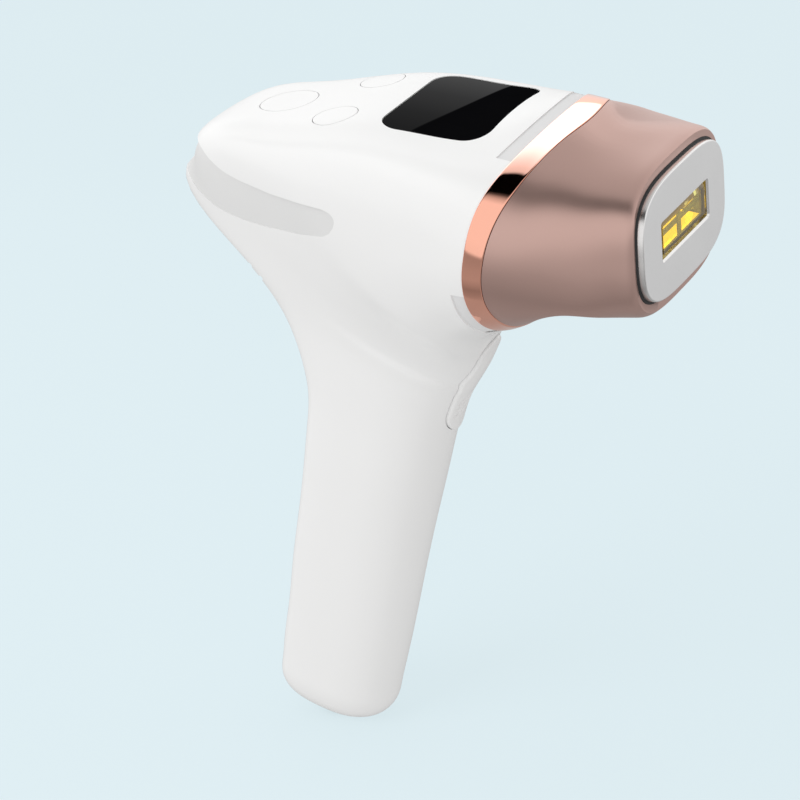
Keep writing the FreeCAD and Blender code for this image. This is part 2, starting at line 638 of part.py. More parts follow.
def make_housing():
    """Body wall with its inlays, split into the top cover and two lower halves."""
    body = OUTER.cut(INNER).cut(AHEAD_OF_RING_BACK)
    body = add_grip_pads(add_rear_band(body))
    cover_zone = prism_y(SEAM + [(20, 60), (-170, 60)], -60, 60)
    cover, display_screws = add_display(body.common(cover_zone))
    cover, button_screws = add_buttons(cover)
    put("top_cover", cover)
    put("cover_screws", *(display_screws + button_screws))
    lower = add_trigger(body.cut(cover_zone))
    make_housing_halves(add_power_jack(lower))
    make_housing_screws()


# ---------------------------------------------------------------- chassis and main board
STANDOFFS = [(-100.0, -13.0), (-100.0, 13.0), (-66.0, -18.0), (-66.0, 18.0)]    # X, Y
STANDOFF_H = 4.0
BOARD_SCREW_R = 1.0


def on_board(x0, x1, y0, y1, height, lift=0.0):
    """Box whose lower face is lift above the main board and top height above it."""
    return box(x0, x1, y0, y1, BOARD_TOP + lift, BOARD_TOP + height)


def make_chassis_and_board():
    z = CHASSIS_TOP
    plate = INNER.common(box(-104.0, -60.0, -40, 40, z - 2, z))
    plate = plate.cut(box(-97, -80, -10, 10, z - 3, z + 1))
    plate = fuse(plate, *[rod(V(x, y, z), Z_AXIS, 2.6, 0, STANDOFF_H) for x, y in STANDOFFS])
    board = box(-105.0, -61.5, -22.0, 22.0, z + STANDOFF_H, BOARD_TOP).common(BOARD_ROOM)
    screws = []
    for x, y in STANDOFFS:
        foot = V(x, y, z)
        hole = rod(foot, Z_AXIS, BOARD_SCREW_R, 0.4, 8.4)
        plate = plate.cut(hole)
        board = board.cut(hole)
        screws.append(screw(foot, Z_AXIS, (BOARD_SCREW_R, 0.4, 5.8), (1.9, 5.6, 6.9)))
    put("chassis", plate)
    put("main_board", board)
    put("board_screws", *screws)


def make_transformer():
    leg = on_board(-73, -69, -6.5, 6.5, 8.8, 2.2)
    core = on_board(-79, -63, -6.5, 6.5, 11)
    core = core.cut(on_board(-76.5, -65.5, -7, 7, 8.8, 2.2))
    put("transformer_core", fuse(core, leg))
    winding = on_board(-76.4, -65.6, -9.5, 9.5, 8.7, 2.3)
    put("transformer_winding", winding.cut(on_board(-73, -69, -6.5, 6.5, 12)))


def make_board_parts():
    axis_foot = V(0, 9.5, BOARD_TOP + 4.0)
    coil = rod(axis_foot, X_AXIS, 4.0, -90, -81).cut(rod(axis_foot, X_AXIS, 1.5, -91, -79))
    put("trigger_coil", fuse(coil, on_board(-90.0, -81.0, 8.3, 10.7, 0.6)))
    put("power_transistors", *[
        on_board(-101.5, -97.0, y - 4.2, y + 4.2, 8.5).cut(
            on_board(-102, -99.2, y - 5, y + 5, 9, 5.5)) for y in (-6.0, 6.0)])
    put("transistor_heat_sink", fuse(
        on_board(-97.0, -95.2, -11.0, 11.0, 10.5),
        *[on_board(-95.2, -91.8, y, y + 1.0, 10.5) for y in (-10.5, -6.3, -2.1, 2.1)]))
    put("board_chips", on_board(-90, -82, -9, -1, 1.6), on_board(-88, -82, -19, -12, 1.4),
        on_board(-78, -72, 12.5, 19, 1.5), on_board(-94.5, -91, 4.2, 7.2, 1.0))
    put("board_connectors", on_board(-70.5, -62.5, -15.2, -10.8, 4.5),
        on_board(-88, -82, 14.2, 18.0, 4.5))


# ---------------------------------------------------------------- storage capacitor
CAP_BASE = V(-109.6, 0, -138.5)
CAP_R, CAP_LENGTH = 8.0, 38.0
SADDLE_STARTS = (6.0, 28.0)     # distance up the can
SADDLE_LENGTH = 5.0


def make_capacitor():
    can = rod(CAP_BASE, GRIP_UP, CAP_R, 0, CAP_LENGTH)
    # rolled groove near the top
    can = can.cut(Part.makeTorus(CAP_R + 0.4, 0.9, CAP_BASE + GRIP_UP * (CAP_LENGTH - 3.0),
                                 GRIP_UP))
    put("storage_capacitor", fuse(can, *[
        rod(CAP_BASE + Y_AXIS * y, GRIP_UP, 0.5, CAP_LENGTH, CAP_LENGTH + 5.0)
        for y in (-3.0, 3.0)]))
    # saddles that hold the can between the housing halves
    can_room = rod(CAP_BASE, GRIP_UP, CAP_R, 0, 60.0)
    put("capacitor_saddles", *[
        rod(CAP_BASE, GRIP_UP, CAP_R + 3.5, start, start + SADDLE_LENGTH)
        .cut(can_room).common(INNER) for start in SADDLE_STARTS])


# ---------------------------------------------------------------- wiring
def make_cables():
    jack_wires = []
    for y in (-1.8, 1.8):
        start = GRIP_BOTTOM + GRIP_UP * 14.0 + Y_AXIS * y - BUTTONS.u * 1.0
        bend = GRIP_BOTTOM + GRIP_UP * 17.5 + Y_AXIS * y * 1.2 - BUTTONS.u * 5.0
        jack_wires.append(wire_tube(
            [start, bend, (-122.6, y * 1.3, -141.0), (-119.6, y, -122.0),
             (-114.6, y, -100.0), (-104.5, y, -80.0), (-93.0, y, -52.0),
             (-89.5, y, -22.0), (-88.5, y, CHASSIS_TOP + 3.0)], 0.75))
    put("jack_cable", *jack_wires)
    put("head_cable", *[wire_tube(
        [(-64.0, y, CHASSIS_TOP + 3.2), (-58.0, y, CHASSIS_TOP - 0.5),
         (-52.0, y * 0.8, CHASSIS_TOP - 3.5), (-44.0, y, CONTACT_Z),
         (-35.0, y, CONTACT_Z)], 0.7) for y in (-6.0, -2.0, 2.0, 6.0)])


# ---------------------------------------------------------------- lamp head socket
SOCKET_FRONT = -31.0
SOCKET_FLOOR = -33.5            # back of the socket's front wall


def make_socket():
    flange = INNER.common(box(-52.0, -49.5, -40, 40, -45, 14.0))
    flange = flange.cut(box(-53, -49, -25, 25, -17.5, 12.0))
    cup = plug(28.6, 15.6, 3.0, -50.5, SOCKET_FRONT, half_below=21.0)
    cup = cup.cut(plug(26.8, 13.8, 3.0, -51.5, SOCKET_FLOOR, half_below=19.2))
    pins = [rod(V(0, y, CONTACT_Z), X_AXIS, 0.7, -34.6, CONTACT_BACK) for y in CONTACT_YS]
    magnets = [rod(V(0, y, 0), X_AXIS, MAGNET_RADIUS, SOCKET_FLOOR, SOCKET_FRONT)
               for y in (-MAGNET_Y, MAGNET_Y)]
    socket = fuse(flange, cup).cut(box(-34, -30, -13.5, 13.5, -4.0, 9.0))
    for insert in pins + magnets:
        socket = socket.cut(insert)
    louvres = [box(SOCKET_FLOOR, SOCKET_FRONT, -13.5, 13.5, z, z + 0.9)
               for z in (-1.2, 2.0, 5.2)]
    put("head_socket", fuse(socket, *louvres))
    put("socket_pins", *pins)
    put("socket_magnets", *magnets)


# ---------------------------------------------------------------- lamp head
PLATE_HALF_W, PLATE_HALF_H, PLATE_POWER = 26.6, 15.8, 3.4      # treatment plate
PLATE_GAP = 0.7
PLATE_BACK = -4.0
SEAL_BACK = PLATE_BACK - 0.6
WINDOW_HALF_W, WINDOW_HALF_H = 15.0, 4.85
GLASS_FRONT = -0.5
MODULE_BACK = -7.6              # hot face of the cooling modules
MODULE_Z = 10.0                 # modules above and below the window
MODULE_HALF_W, MODULE_HALF_H = 13.0, 3.0
CARRIER_BACK = -27.0
HEAD_SCREW_Z = 9.4
HEAD_SCREW_R = 0.9
FIN_YS = (-14.5, -11.1, -7.7, -4.3, -0.45, 3.4, 6.8, 10.2, 13.6)
PELLET_YS = (-12.4, -9.4, -6.4, -3.4, -0.6, 2.4, 5.4, 8.4, 11.2)


def plate_plug(x0, x1, margin=0.0):
    return plug(PLATE_HALF_W + margin, PLATE_HALF_H + margin, PLATE_POWER, x0, x1)


def make_head_shell():
    pocket = plate_plug(-5.4, 6.0, PLATE_GAP)
    shell = OUTER.cut(INNER).common(AHEAD_OF_RING_FRONT).cut(pocket)
    # inner ledge behind the plate
    ledge = INNER.common(box(-6.8, SEAL_BACK, -40, 40, -30, 30))
    ledge = ledge.cut(plug(24.5, 13.6, PLATE_POWER, -10, 0))
    put("head_shell", fuse(shell, ledge.cut(pocket)))


def make_treatment_face():
    half_w, half_h = WINDOW_HALF_W, WINDOW_HALF_H
    put("cold_plate", plate_plug(PLATE_BACK, 0.0).cut(
        box(-12, 4, -half_w, half_w, -half_h, half_h)))
    gasket = plate_plug(SEAL_BACK, -2.0, PLATE_GAP).cut(plate_plug(PLATE_BACK, 1.0))
    put("plate_gasket", gasket.cut(plug(24.6, 13.7, PLATE_POWER, -9, 0)))
    glass = box(PLATE_BACK, GLASS_FRONT, -half_w, half_w, -half_h, half_h)
    front_edges = [e for e in glass.Edges if abs(e.CenterOfMass.x - GLASS_FRONT) < 1e-6]
    put("filter_glass", glass.makeChamfer(0.5, front_edges))
    put("glass_seal", box(SEAL_BACK, PLATE_BACK, -16.6, 16.6, -6.4, 6.4).cut(
        box(-6, 0, -13.8, 13.8, -3.9, 3.9)))


def make_head_carrier():
    """Front frame and rear plate joined by four posts, with screws and contacts."""
    carrier = plug(24.4, 13.5, PLATE_POWER, MODULE_BACK, SEAL_BACK)
    carrier = carrier.cut(box(-9, 0, -17.2, 17.2, -7.0, 7.0))
    for z in (MODULE_Z, -MODULE_Z):
        carrier = carrier.cut(box(-9, 0, -MODULE_HALF_W, MODULE_HALF_W,
                                  z - MODULE_HALF_H, z + MODULE_HALF_H))
    rear = plug(28.0, 16.6, 3.2, CARRIER_BACK, -24.6)
    feet = [V(0, y, z) for y in (-MAGNET_Y, MAGNET_Y) for z in (-HEAD_SCREW_Z, HEAD_SCREW_Z)]
    carrier = fuse(carrier, rear, *[rod(foot, X_AXIS, 2.6, -25.0, -7.2) for foot in feet])
    carrier = carrier.cut(box(-28, -24, -12.0, 12.0, 3.0, 12.5))
    for foot in feet:
        carrier = carrier.cut(rod(foot, X_AXIS, HEAD_SCREW_R, -28, -18))
    put("head_carrier", carrier)
    put("head_screws", *[screw(foot, X_AXIS, (HEAD_SCREW_R, CARRIER_BACK, -18.1),
                               (1.9, -28.3, CARRIER_BACK)) for foot in feet])
    put("head_keepers", *[rod(V(0, y, 0), X_AXIS, MAGNET_RADIUS, -30.2, CARRIER_BACK)
                          for y in (-MAGNET_Y, MAGNET_Y)])
    put("head_contacts", *[box(CONTACT_BACK, CARRIER_BACK, y - 1.3, y + 1.3,
                               CONTACT_Z - 2.0, CONTACT_Z + 2.0) for y in CONTACT_YS])


def cooling_module(z):
    """Two flat plates with a row of pellets between them."""
    def layer(x0, x1):
        return box(x0, x1, -MODULE_HALF_W, MODULE_HALF_W,
                   z - MODULE_HALF_H, z + MODULE_HALF_H)

    pellets = [box(-6.7, -4.9, y, y + 1.2, z - 2.7, z + 2.7) for y in PELLET_YS]
    return fuse(layer(-4.9, PLATE_BACK), layer(MODULE_BACK, -6.7), *pellets)


def heat_sink(z0, z1):
    fins = [box(-22.0, -9.4, y, y + 0.9, z0, z1) for y in FIN_YS]
    return fuse(box(-9.4, MODULE_BACK, -14.5, 14.5, z0, z1), *fins)


def make_cooling():
    put("cooling_modules", *[cooling_module(z) for z in (MODULE_Z, -MODULE_Z)])
    put("head_heat_sinks", heat_sink(7.4, 13.2), heat_sink(-13.2, -7.4))


# ---------------------------------------------------------------- flash lamp
LAMP_R = 2.6
LAMP_X = -12.5
LAMP_WALL = 0.6
HOLDER_R = LAMP_R + 0.2         # electrode caps and the holes that take them
MIRROR_FRONT = -4.7
MIRROR_HALF_H = 5.6
MIRROR_T = 0.6


def mirror_curve(thickness):
    """Parabola (X, Z) opening forward, from bottom to top."""
    points = []
    for k in range(13):
        z = -MIRROR_HALF_H + 2 * MIRROR_HALF_H * k / 12.0
        points.append((LAMP_X - 5.2 - thickness + z * z / (2.3 * 1.75),
                       z * (1 + thickness / MIRROR_HALF_H)))
    # both ends are carried forward to the mirror's mouth
    points[0] = (MIRROR_FRONT, points[0][1])
    points[-1] = (MIRROR_FRONT, points[-1][1])
    return points


def make_lamp():
    put("reflector", prism_y(mirror_curve(0.0) + mirror_curve(MIRROR_T)[::-1], -17.0, 17.0))
    centre = V(LAMP_X, 0, 0)
    put("flash_lamp", rod(centre, Y_AXIS, LAMP_R, -19, 19).cut(
        rod(centre, Y_AXIS, LAMP_R - LAMP_WALL, -18, 18)))
    put("lamp_electrodes", *[
        fuse(rod(centre, Y_AXIS, HOLDER_R, *cap), rod(centre, Y_AXIS, 0.7, *pin))
        for cap, pin in (((-22.0, -19.0), (-23.6, -22.0)), ((19.0, 22.0), (22.0, 23.6)))])
    put("lamp_holders", *[
        box(-17.5, -7.6, y0, y1, -5.6, 5.6).cut(rod(centre, Y_AXIS, HOLDER_R, -30, 30))
        for y0, y1 in ((-21.6, -19.4), (19.4, 21.6))])
    put("lamp_leads", *[wire_tube(
        [(LAMP_X - 1.0, side * 23.0, 0.0), (-17.0, side * 23.6, -0.6),
         (-20.0, side * 20.0, -2.4), (-21.8, side * 12.0, -4.4),
         (-23.7, side * 10.0, -6.0)], 0.6) for side in (-1, 1)])


# ---------------------------------------------------------------- build and export
def export_pieces():
    os.makedirs("parts", exist_ok=True)
    for filename in os.listdir("parts"):
        if filename.endswith(".step"):
            os.remove(os.path.join("parts", filename))
    for name in sorted(PIECES):
        PIECES[name].exportStep("parts/%s.step" % name)


make_head_ring()
make_housing()
make_fan()
make_chassis_and_board()
make_transformer()
make_board_parts()
make_capacitor()
make_cables()
make_socket()
make_head_shell()
make_treatment_face()
make_head_carrier()
make_cooling()
make_lamp()
export_pieces()
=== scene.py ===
import bpy
import bmesh
import json
import math
import numpy as np
from mathutils import Vector, Matrix
from mathutils.bvhtree import BVHTree
from mathutils.interpolate import poly_3d_calc

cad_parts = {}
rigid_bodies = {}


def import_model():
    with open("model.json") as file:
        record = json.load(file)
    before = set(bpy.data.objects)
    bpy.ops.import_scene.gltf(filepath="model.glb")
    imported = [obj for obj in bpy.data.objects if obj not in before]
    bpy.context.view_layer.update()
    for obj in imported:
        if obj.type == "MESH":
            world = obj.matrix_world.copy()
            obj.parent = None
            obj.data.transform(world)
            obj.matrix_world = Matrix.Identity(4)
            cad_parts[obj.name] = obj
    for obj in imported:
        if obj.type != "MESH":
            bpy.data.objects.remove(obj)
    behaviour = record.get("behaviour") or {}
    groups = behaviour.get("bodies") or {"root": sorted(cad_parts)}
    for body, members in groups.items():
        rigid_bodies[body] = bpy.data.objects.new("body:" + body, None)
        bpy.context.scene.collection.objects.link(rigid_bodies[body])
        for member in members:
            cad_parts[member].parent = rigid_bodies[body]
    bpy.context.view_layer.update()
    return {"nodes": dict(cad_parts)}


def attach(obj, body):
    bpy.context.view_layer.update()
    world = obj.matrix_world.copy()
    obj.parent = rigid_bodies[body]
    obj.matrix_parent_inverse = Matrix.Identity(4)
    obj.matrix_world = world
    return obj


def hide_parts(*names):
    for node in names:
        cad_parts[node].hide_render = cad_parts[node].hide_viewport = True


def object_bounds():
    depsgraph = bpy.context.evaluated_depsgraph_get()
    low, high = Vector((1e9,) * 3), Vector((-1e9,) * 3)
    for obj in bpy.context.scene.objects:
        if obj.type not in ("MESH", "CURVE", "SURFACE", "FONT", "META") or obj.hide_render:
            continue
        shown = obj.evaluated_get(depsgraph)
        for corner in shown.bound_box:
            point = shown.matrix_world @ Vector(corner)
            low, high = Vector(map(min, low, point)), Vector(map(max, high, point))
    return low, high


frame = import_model()

MM = 0.001
LEFT = np.array((0.0, 1.0, 0.0))


def unit(vector):
    vector = np.array(vector, float)
    return vector / np.linalg.norm(vector)


# ------------------------------------------------------------------ housing dimensions
WALL = 2.2
GRIP_AXIS = np.array((0.242, 0.0, 0.970))
END_LENGTH, END_ROUND = 19.4, 10.0      # rounded lower end of the grip
END_LEVELS = (0.0, 0.35, 1.3, 3.0, 5.4, 8.6, 13.0)      # heights above its lowest point

# Edges of the polished ring: x on the axis, tilt in degrees, how far the sides sweep back
RING_BACK = (-35.9, 12.5, 8.3)
RING_FRONT = (-30.3, 13.9, 8.0)
RING_HALF_WIDTH = 33.75

# The skin is lofted through these sections, from the grip end to the lamp head. "Under" is the
# front of the grip and the underside of the head, "over" the back of the grip and the top.
# under x, under z, over x, over z, half width, share of the height that lies under the widest
# point, superellipse exponent under it, exponent over it
SECTIONS = [
    (-93.85, -149.57, -128.65, -140.89, 11.60, 0.500, 2.20, 2.20),
    (-89.69, -135.72, -125.28, -126.85, 12.00, 0.500, 2.20, 2.20),
    (-85.88, -122.03, -122.44, -112.91, 12.39, 0.500, 2.20, 2.20),
    (-80.06, -101.76, -117.55, -92.41, 12.96, 0.500, 2.20, 2.20),
    (-74.01, -82.23, -113.22, -72.46, 13.52, 0.500, 2.20, 2.20),
    (-72.33, -76.66, -111.94, -66.05, 13.56, 0.498, 2.20, 2.13),
    (-70.39, -70.32, -110.87, -57.94, 13.66, 0.493, 2.21, 2.00),
    (-69.08, -66.27, -111.19, -51.35, 13.81, 0.488, 2.22, 1.88),
    (-67.43, -61.83, -112.68, -43.09, 14.00, 0.482, 2.23, 1.79),
    (-65.97, -58.64, -114.95, -35.81, 14.21, 0.478, 2.24, 1.75),
    (-64.71, -56.35, -118.41, -28.75, 14.56, 0.476, 2.24, 1.76),
    (-63.40, -54.27, -124.28, -19.82, 15.29, 0.475, 2.25, 1.85),
    (-62.07, -52.28, -144.03, -1.07, 16.32, 0.475, 2.25, 2.00),
    (-60.72, -50.20, -140.48, 5.64, 17.98, 0.475, 2.25, 2.20),
    (-59.34, -47.84, -136.11, 13.22, 20.33, 0.475, 2.25, 2.36),
    (-57.97, -44.89, -125.40, 20.23, 23.59, 0.475, 2.25, 2.44),
    (-56.84, -42.17, -110.33, 22.72, 26.96, 0.475, 2.25, 2.51),
    (-55.41, -39.23, -95.71, 25.26, 29.24, 0.476, 2.24, 2.54),
    (-53.41, -36.62, -81.60, 28.20, 31.05, 0.479, 2.22, 2.41),
    (-50.97, -34.72, -68.11, 29.25, 32.54, 0.483, 2.19, 2.19),
    (-48.49, -33.38, -55.56, 28.72, 33.81, 0.489, 2.14, 2.12),
    (-46.12, -32.35, -44.02, 27.85, 34.63, 0.497, 2.09, 2.10),
    (-43.92, -31.49, -33.56, 27.22, 35.11, 0.504, 2.03, 2.09),
    (-42.97, -31.13, -29.08, 26.73, 35.22, 0.508, 2.01, 2.08),
    (-37.35, -27.58, -24.36, 24.64, 35.10, 0.501, 2.36, 2.42),
    (-30.11, -22.77, -21.62, 22.10, 34.79, 0.489, 3.02, 3.04),
    (-22.66, -20.16, -18.40, 20.39, 34.31, 0.481, 3.41, 3.41),
    (-14.00, -20.19, -12.25, 19.62, 32.60, 0.490, 3.40, 3.40),
    (-5.78, -20.40, -5.23, 19.30, 29.60, 0.514, 3.30, 3.30),
]
# Sections the skin can start from when its rear part isn't needed
FROM_DISPLAY, FROM_RING, FROM_HEAD = 5, 8, 14
# Rounding of the front end: x, inset
FRONT_LEVELS = ((-4.1, 0.25), (-2.9, 0.75), (-2.0, 1.55))

# Level crown of the top, by x of the section's over point: the share of it that applies, and
# how far it lies below the plain curve
CROWN_SHARE = [
    (-146.0, 0.0), (-140.0, 0.5), (-134.0, 0.9), (-126.0, 1.0), (-60.0, 1.0),
    (-50.0, 0.85), (-42.0, 0.5), (-33.0, 0.1), (-28.0, 0.0)]
CROWN_DROP = [
    (-140.0, 0.2), (-120.0, 1.2), (-100.0, 1.3), (-80.0, 3.1), (-60.0, 5.0),
    (-45.0, 4.0), (-33.0, 1.1), (-28.0, 0.0)]
CROWN_SIDE_POWER, CROWN_TOP_POWER = 7.0, 2.4


# ------------------------------------------------------------------ housing skin
def section_loop(section, offset, count):
    """Closed loop of points on one section, moved out by offset."""
    (under_x, under_z, over_x, over_z, half_width, split,
     under_power, over_power) = section
    length = math.hypot(over_x - under_x, over_z - under_z)
    dir_x, dir_z = (over_x - under_x) / length, (over_z - under_z) / length
    under_reach = split * length + offset
    over_reach = (1 - split) * length + offset
    half_width = half_width + offset
    centre_x = under_x + dir_x * split * length
    centre_z = under_z + dir_z * split * length
    angle = -np.pi / 2 + 2 * np.pi * np.arange(count) / count
    cos, sin = np.cos(angle), np.sin(angle)
    reach = np.where(sin < 0, under_reach, over_reach)
    power = np.where(sin < 0, under_power, over_power)
    radius = ((np.abs(cos) / half_width) ** power + (np.abs(sin) / reach) ** power) ** (-1.0 / power)
    y, rise = radius * cos, radius * sin
    share = np.interp(over_x, *zip(*CROWN_SHARE))
    drop = np.interp(over_x, *zip(*CROWN_DROP))
    if share > 0:
        across = np.minimum(np.abs(y) / half_width, 1.0)
        crown = (1 - across ** CROWN_SIDE_POWER) ** (1 / CROWN_TOP_POWER)
        rise = np.where(sin > 0, (1 - share) * rise + share * (over_reach - drop) * crown, rise)
    return np.stack([centre_x + dir_x * rise, y, centre_z + dir_z * rise], 1)


def end_loops(offset, count):
    """Loops of the rounded grip end; the inner skins sit higher by their own depth."""
    under_x, under_z, over_x, over_z, half_width, *shape = SECTIONS[0]
    length = math.hypot(over_x - under_x, over_z - under_z)
    dir_x, dir_z = (over_x - under_x) / length, (over_z - under_z) / length
    loops = []
    for level in END_LEVELS:
        inset = 0.0
        if level < END_ROUND:
            inset = END_ROUND - math.sqrt(max(END_ROUND ** 2 - (END_ROUND - level) ** 2, 0))
        below = END_LENGTH - level
        trim = inset + below * 0.045
        shift_x, _, shift_z = -GRIP_AXIS * below + GRIP_AXIS * max(0.0, -offset)
        loops.append(section_loop(
            (under_x + dir_x * trim + shift_x, under_z + dir_z * trim + shift_z,
             over_x - dir_x * trim + shift_x, over_z - dir_z * trim + shift_z,
             half_width - 0.62 * inset - below * 0.02, *shape), offset, count))
    return loops


def front_loops(offset, count):
    _, under_z, _, over_z, half_width, split, *powers = SECTIONS[-1]
    return [section_loop((x, under_z + inset * 0.9, x, over_z - inset * 0.55, half_width - inset,
                          split + (0.5 - split) * 0.2, *powers), offset, count)
            for x, inset in FRONT_LEVELS]


def natural_spline(knots, values, at):
    """Natural cubic spline through rows of values at the knots, evaluated at at."""
    size = len(knots)
    gap = np.diff(knots)
    system = np.zeros((size, size))
    right = np.zeros(values.shape)
    system[0, 0] = system[-1, -1] = 1
    for i in range(1, size - 1):
        system[i, i - 1], system[i, i + 1] = gap[i - 1], gap[i]
        system[i, i] = 2 * (gap[i - 1] + gap[i])
        right[i] = 6 * ((values[i + 1] - values[i]) / gap[i]
                        - (values[i] - values[i - 1]) / gap[i - 1])
    bend = np.linalg.solve(system, right.reshape(size, -1)).reshape(right.shape)
    k = np.clip(np.searchsorted(knots, at, side="right") - 1, 0, size - 2)
    before = ((knots[k + 1] - at) / gap[k]).reshape(-1, 1, 1)
    after = ((at - knots[k]) / gap[k]).reshape(-1, 1, 1)
    width = gap[k].reshape(-1, 1, 1)
    return (before * values[k] + after * values[k + 1]
            + ((before ** 3 - before) * bend[k] + (after ** 3 - after) * bend[k + 1])
            * width ** 2 / 6)


def skin_grid(offset, first=0, step=1.6, count=112):
    """Dense grid of points (loops x around) on the skin moved out by offset.

    The grip end is included only when the skin starts at section 0. Loop counts come from the
    plain skin, so grids at different offsets match row by row.
    """
    def loops(out):
        end = end_loops(out, count) if first == 0 else []
        middle = [section_loop(section, out, count) for section in SECTIONS[first:]]
        return np.array(end + middle + front_loops(out, count))
    coarse, plain = loops(offset), loops(0.0)
    mean_gap = np.sqrt((np.diff(coarse, axis=0) ** 2).sum(-1)).mean(1)
    knots = np.r_[0, np.cumsum(mean_gap)]
    widest_gap = np.sqrt((np.diff(plain, axis=0) ** 2).sum(-1)).max(1)
    at = [0.0]
    for i in range(len(knots) - 1):
        parts = max(1, int(math.ceil(widest_gap[i] / step)))
        at += list(knots[i] + (knots[i + 1] - knots[i]) * (np.arange(1, parts + 1) / parts))
    return natural_spline(knots, coarse, np.array(at))


# ------------------------------------------------------------------ meshes and solids
def grid_mesh(grid):
    """Vertices and faces of a closed solid made of a loop grid and two end caps."""
    rows, count, _ = grid.shape
    verts = grid.reshape(-1, 3)
    i = np.arange(rows - 1)[:, None] * count
    j = np.arange(count)[None]
    a, b = i + j, i + (j + 1) % count
    faces = np.stack([a, b, b + count, a + count], -1).reshape(-1, 4).tolist()
    cap0, cap1 = len(verts), len(verts) + 1
    last = (rows - 1) * count
    verts = np.vstack([verts, grid[0].mean(0), grid[-1].mean(0)])
    faces += [[cap0, (k + 1) % count, k] for k in range(count)]
    faces += [[cap1, last + k, last + (k + 1) % count] for k in range(count)]
    return verts, faces


def poly_mesh(verts, faces):
    """Mesh in metres with its normals pointing outward, from points in millimetres."""
    mesh = bpy.data.meshes.new("part")
    mesh.from_pydata((np.asarray(verts) * MM).tolist(), [], [list(f) for f in faces])
    mesh.update()
    bm = bmesh.new()
    bm.from_mesh(mesh)
    bmesh.ops.recalc_face_normals(bm, faces=bm.faces)
    if bm.calc_volume(signed=True) < 0:
        bmesh.ops.reverse_faces(bm, faces=bm.faces)
    bm.to_mesh(mesh)
    bm.free()
    return mesh


def loft(loops):
    return poly_mesh(*grid_mesh(np.array(loops)))


def merged(meshes, flip_first=False):
    """All meshes in one, without a boolean."""
    bm = bmesh.new()
    for i, mesh in enumerate(meshes):
        bm.from_mesh(mesh)
        if flip_first and i == 0:
            bmesh.ops.reverse_faces(bm, faces=bm.faces)
    result = bpy.data.meshes.new("part")
    bm.to_mesh(result)
    bm.free()
    return result


def solid_skin(offset, **options):
    return loft(skin_grid(offset, **options))


def shell_skin(outer, inner, **options):
    """Hollow shell between two skins, as one mesh with a cavity."""
    outside = solid_skin(outer, **options)
    return merged([solid_skin(inner, **options), outside], flip_first=True)


def boolean(mesh, tool, operation):
    scene_objects = bpy.context.scene.collection.objects
    target = bpy.data.objects.new("tmp_a", mesh)
    cutter = bpy.data.objects.new("tmp_b", tool)
    scene_objects.link(target)
    scene_objects.link(cutter)
    modifier = target.modifiers.new("b", "BOOLEAN")
    modifier.operation = operation
    modifier.object = cutter
    modifier.solver = "MANIFOLD"
    depsgraph = bpy.context.evaluated_depsgraph_get()
    depsgraph.update()
    result = bpy.data.meshes.new_from_object(target.evaluated_get(depsgraph))
    bpy.data.objects.remove(target)
    bpy.data.objects.remove(cutter)
    return result


def cut(mesh, *tools):
    for tool in tools:
        mesh = boolean(mesh, tool, "DIFFERENCE")
    return mesh


def overlap(mesh, tool):
    return boolean(mesh, tool, "INTERSECT")


def fuse(mesh, tool):
    return boolean(mesh, tool, "UNION")


def solid_between(base, top):
    """Closed prism between two matching polygons."""
    n = len(base)
    faces = [list(range(n)), list(range(n, 2 * n))]
    faces += [[i, (i + 1) % n, (i + 1) % n + n, i + n] for i in range(n)]
    return poly_mesh(np.vstack([base, top]), faces)


def prism(outline, low, high, axis):
    """Outline in the two other axes, swept from low to high along axis (0, 1 or 2)."""
    flat = np.array(outline, float)
    return solid_between(*(np.insert(flat, axis, level, axis=1) for level in (low, high)))


def sweep(polygon, path):
    """Polygon of 3D points swept along a vector."""
    base = np.array(polygon, float)
    return solid_between(base, base + np.array(path))


def box(x0, x1, y0, y1, z0, z1):
    return prism([(x0, y0), (x1, y0), (x1, y1), (x0, y1)], z0, z1, 2)


def cylinder(base, axis, radius, length, count=96):
    axis = unit(axis)
    side = np.cross(axis, [0, 1, 0])
    if np.linalg.norm(side) < 1e-6:
        side = np.cross(axis, [1, 0, 0])
    side /= np.linalg.norm(side)
    other = np.cross(axis, side)
    angle = (2 * np.pi * np.arange(count) / count)[:, None]
    circle = radius * (np.cos(angle) * side + np.sin(angle) * other)
    return loft([np.array(base) + axis * height + circle for height in (0, length)])


def ahead_of(edge, shift=0.0):
    """Everything in front of a ring edge moved by shift along x."""
    edge_x, tilt, swept = edge
    slope = math.tan(math.radians(tilt))
    half_y, half_z, front_x = 60.0, 90.0, 140.0
    curve = swept / RING_HALF_WIDTH ** 2
    ys = np.linspace(-half_y, half_y, 97)
    xs = edge_x + shift - slope * half_z - curve * ys * ys
    polygon = [(x, y, -half_z) for x, y in zip(xs, ys)]
    polygon += [(front_x, half_y, -half_z), (front_x, -half_y, -half_z)]
    return sweep(polygon, (slope * 2 * half_z, 0, 2 * half_z))


# ------------------------------------------------------------------ outlines
def rounded_rect(x0, x1, y0, y1, radius, steps=14):
    points = []
    for cx, cy, start in ((x1 - radius, y0 + radius, -90), (x1 - radius, y1 - radius, 0),
                          (x0 + radius, y1 - radius, 90), (x0 + radius, y0 + radius, 180)):
        for k in range(steps + 1):
            angle = math.radians(start + 90 * k / steps)
            points.append((cx + radius * math.cos(angle), cy + radius * math.sin(angle)))
    return points


def stadium(half_length, half_width, steps=28):
    """Slot outline with round ends, long in its first axis."""
    points = []
    for side in (1, -1):
        for k in range(steps + 1):
            angle = math.radians(-90 + 180 * k / steps)
            points.append((side * ((half_length - half_width) + half_width * math.cos(angle)),
                           side * half_width * math.sin(angle)))
    return points


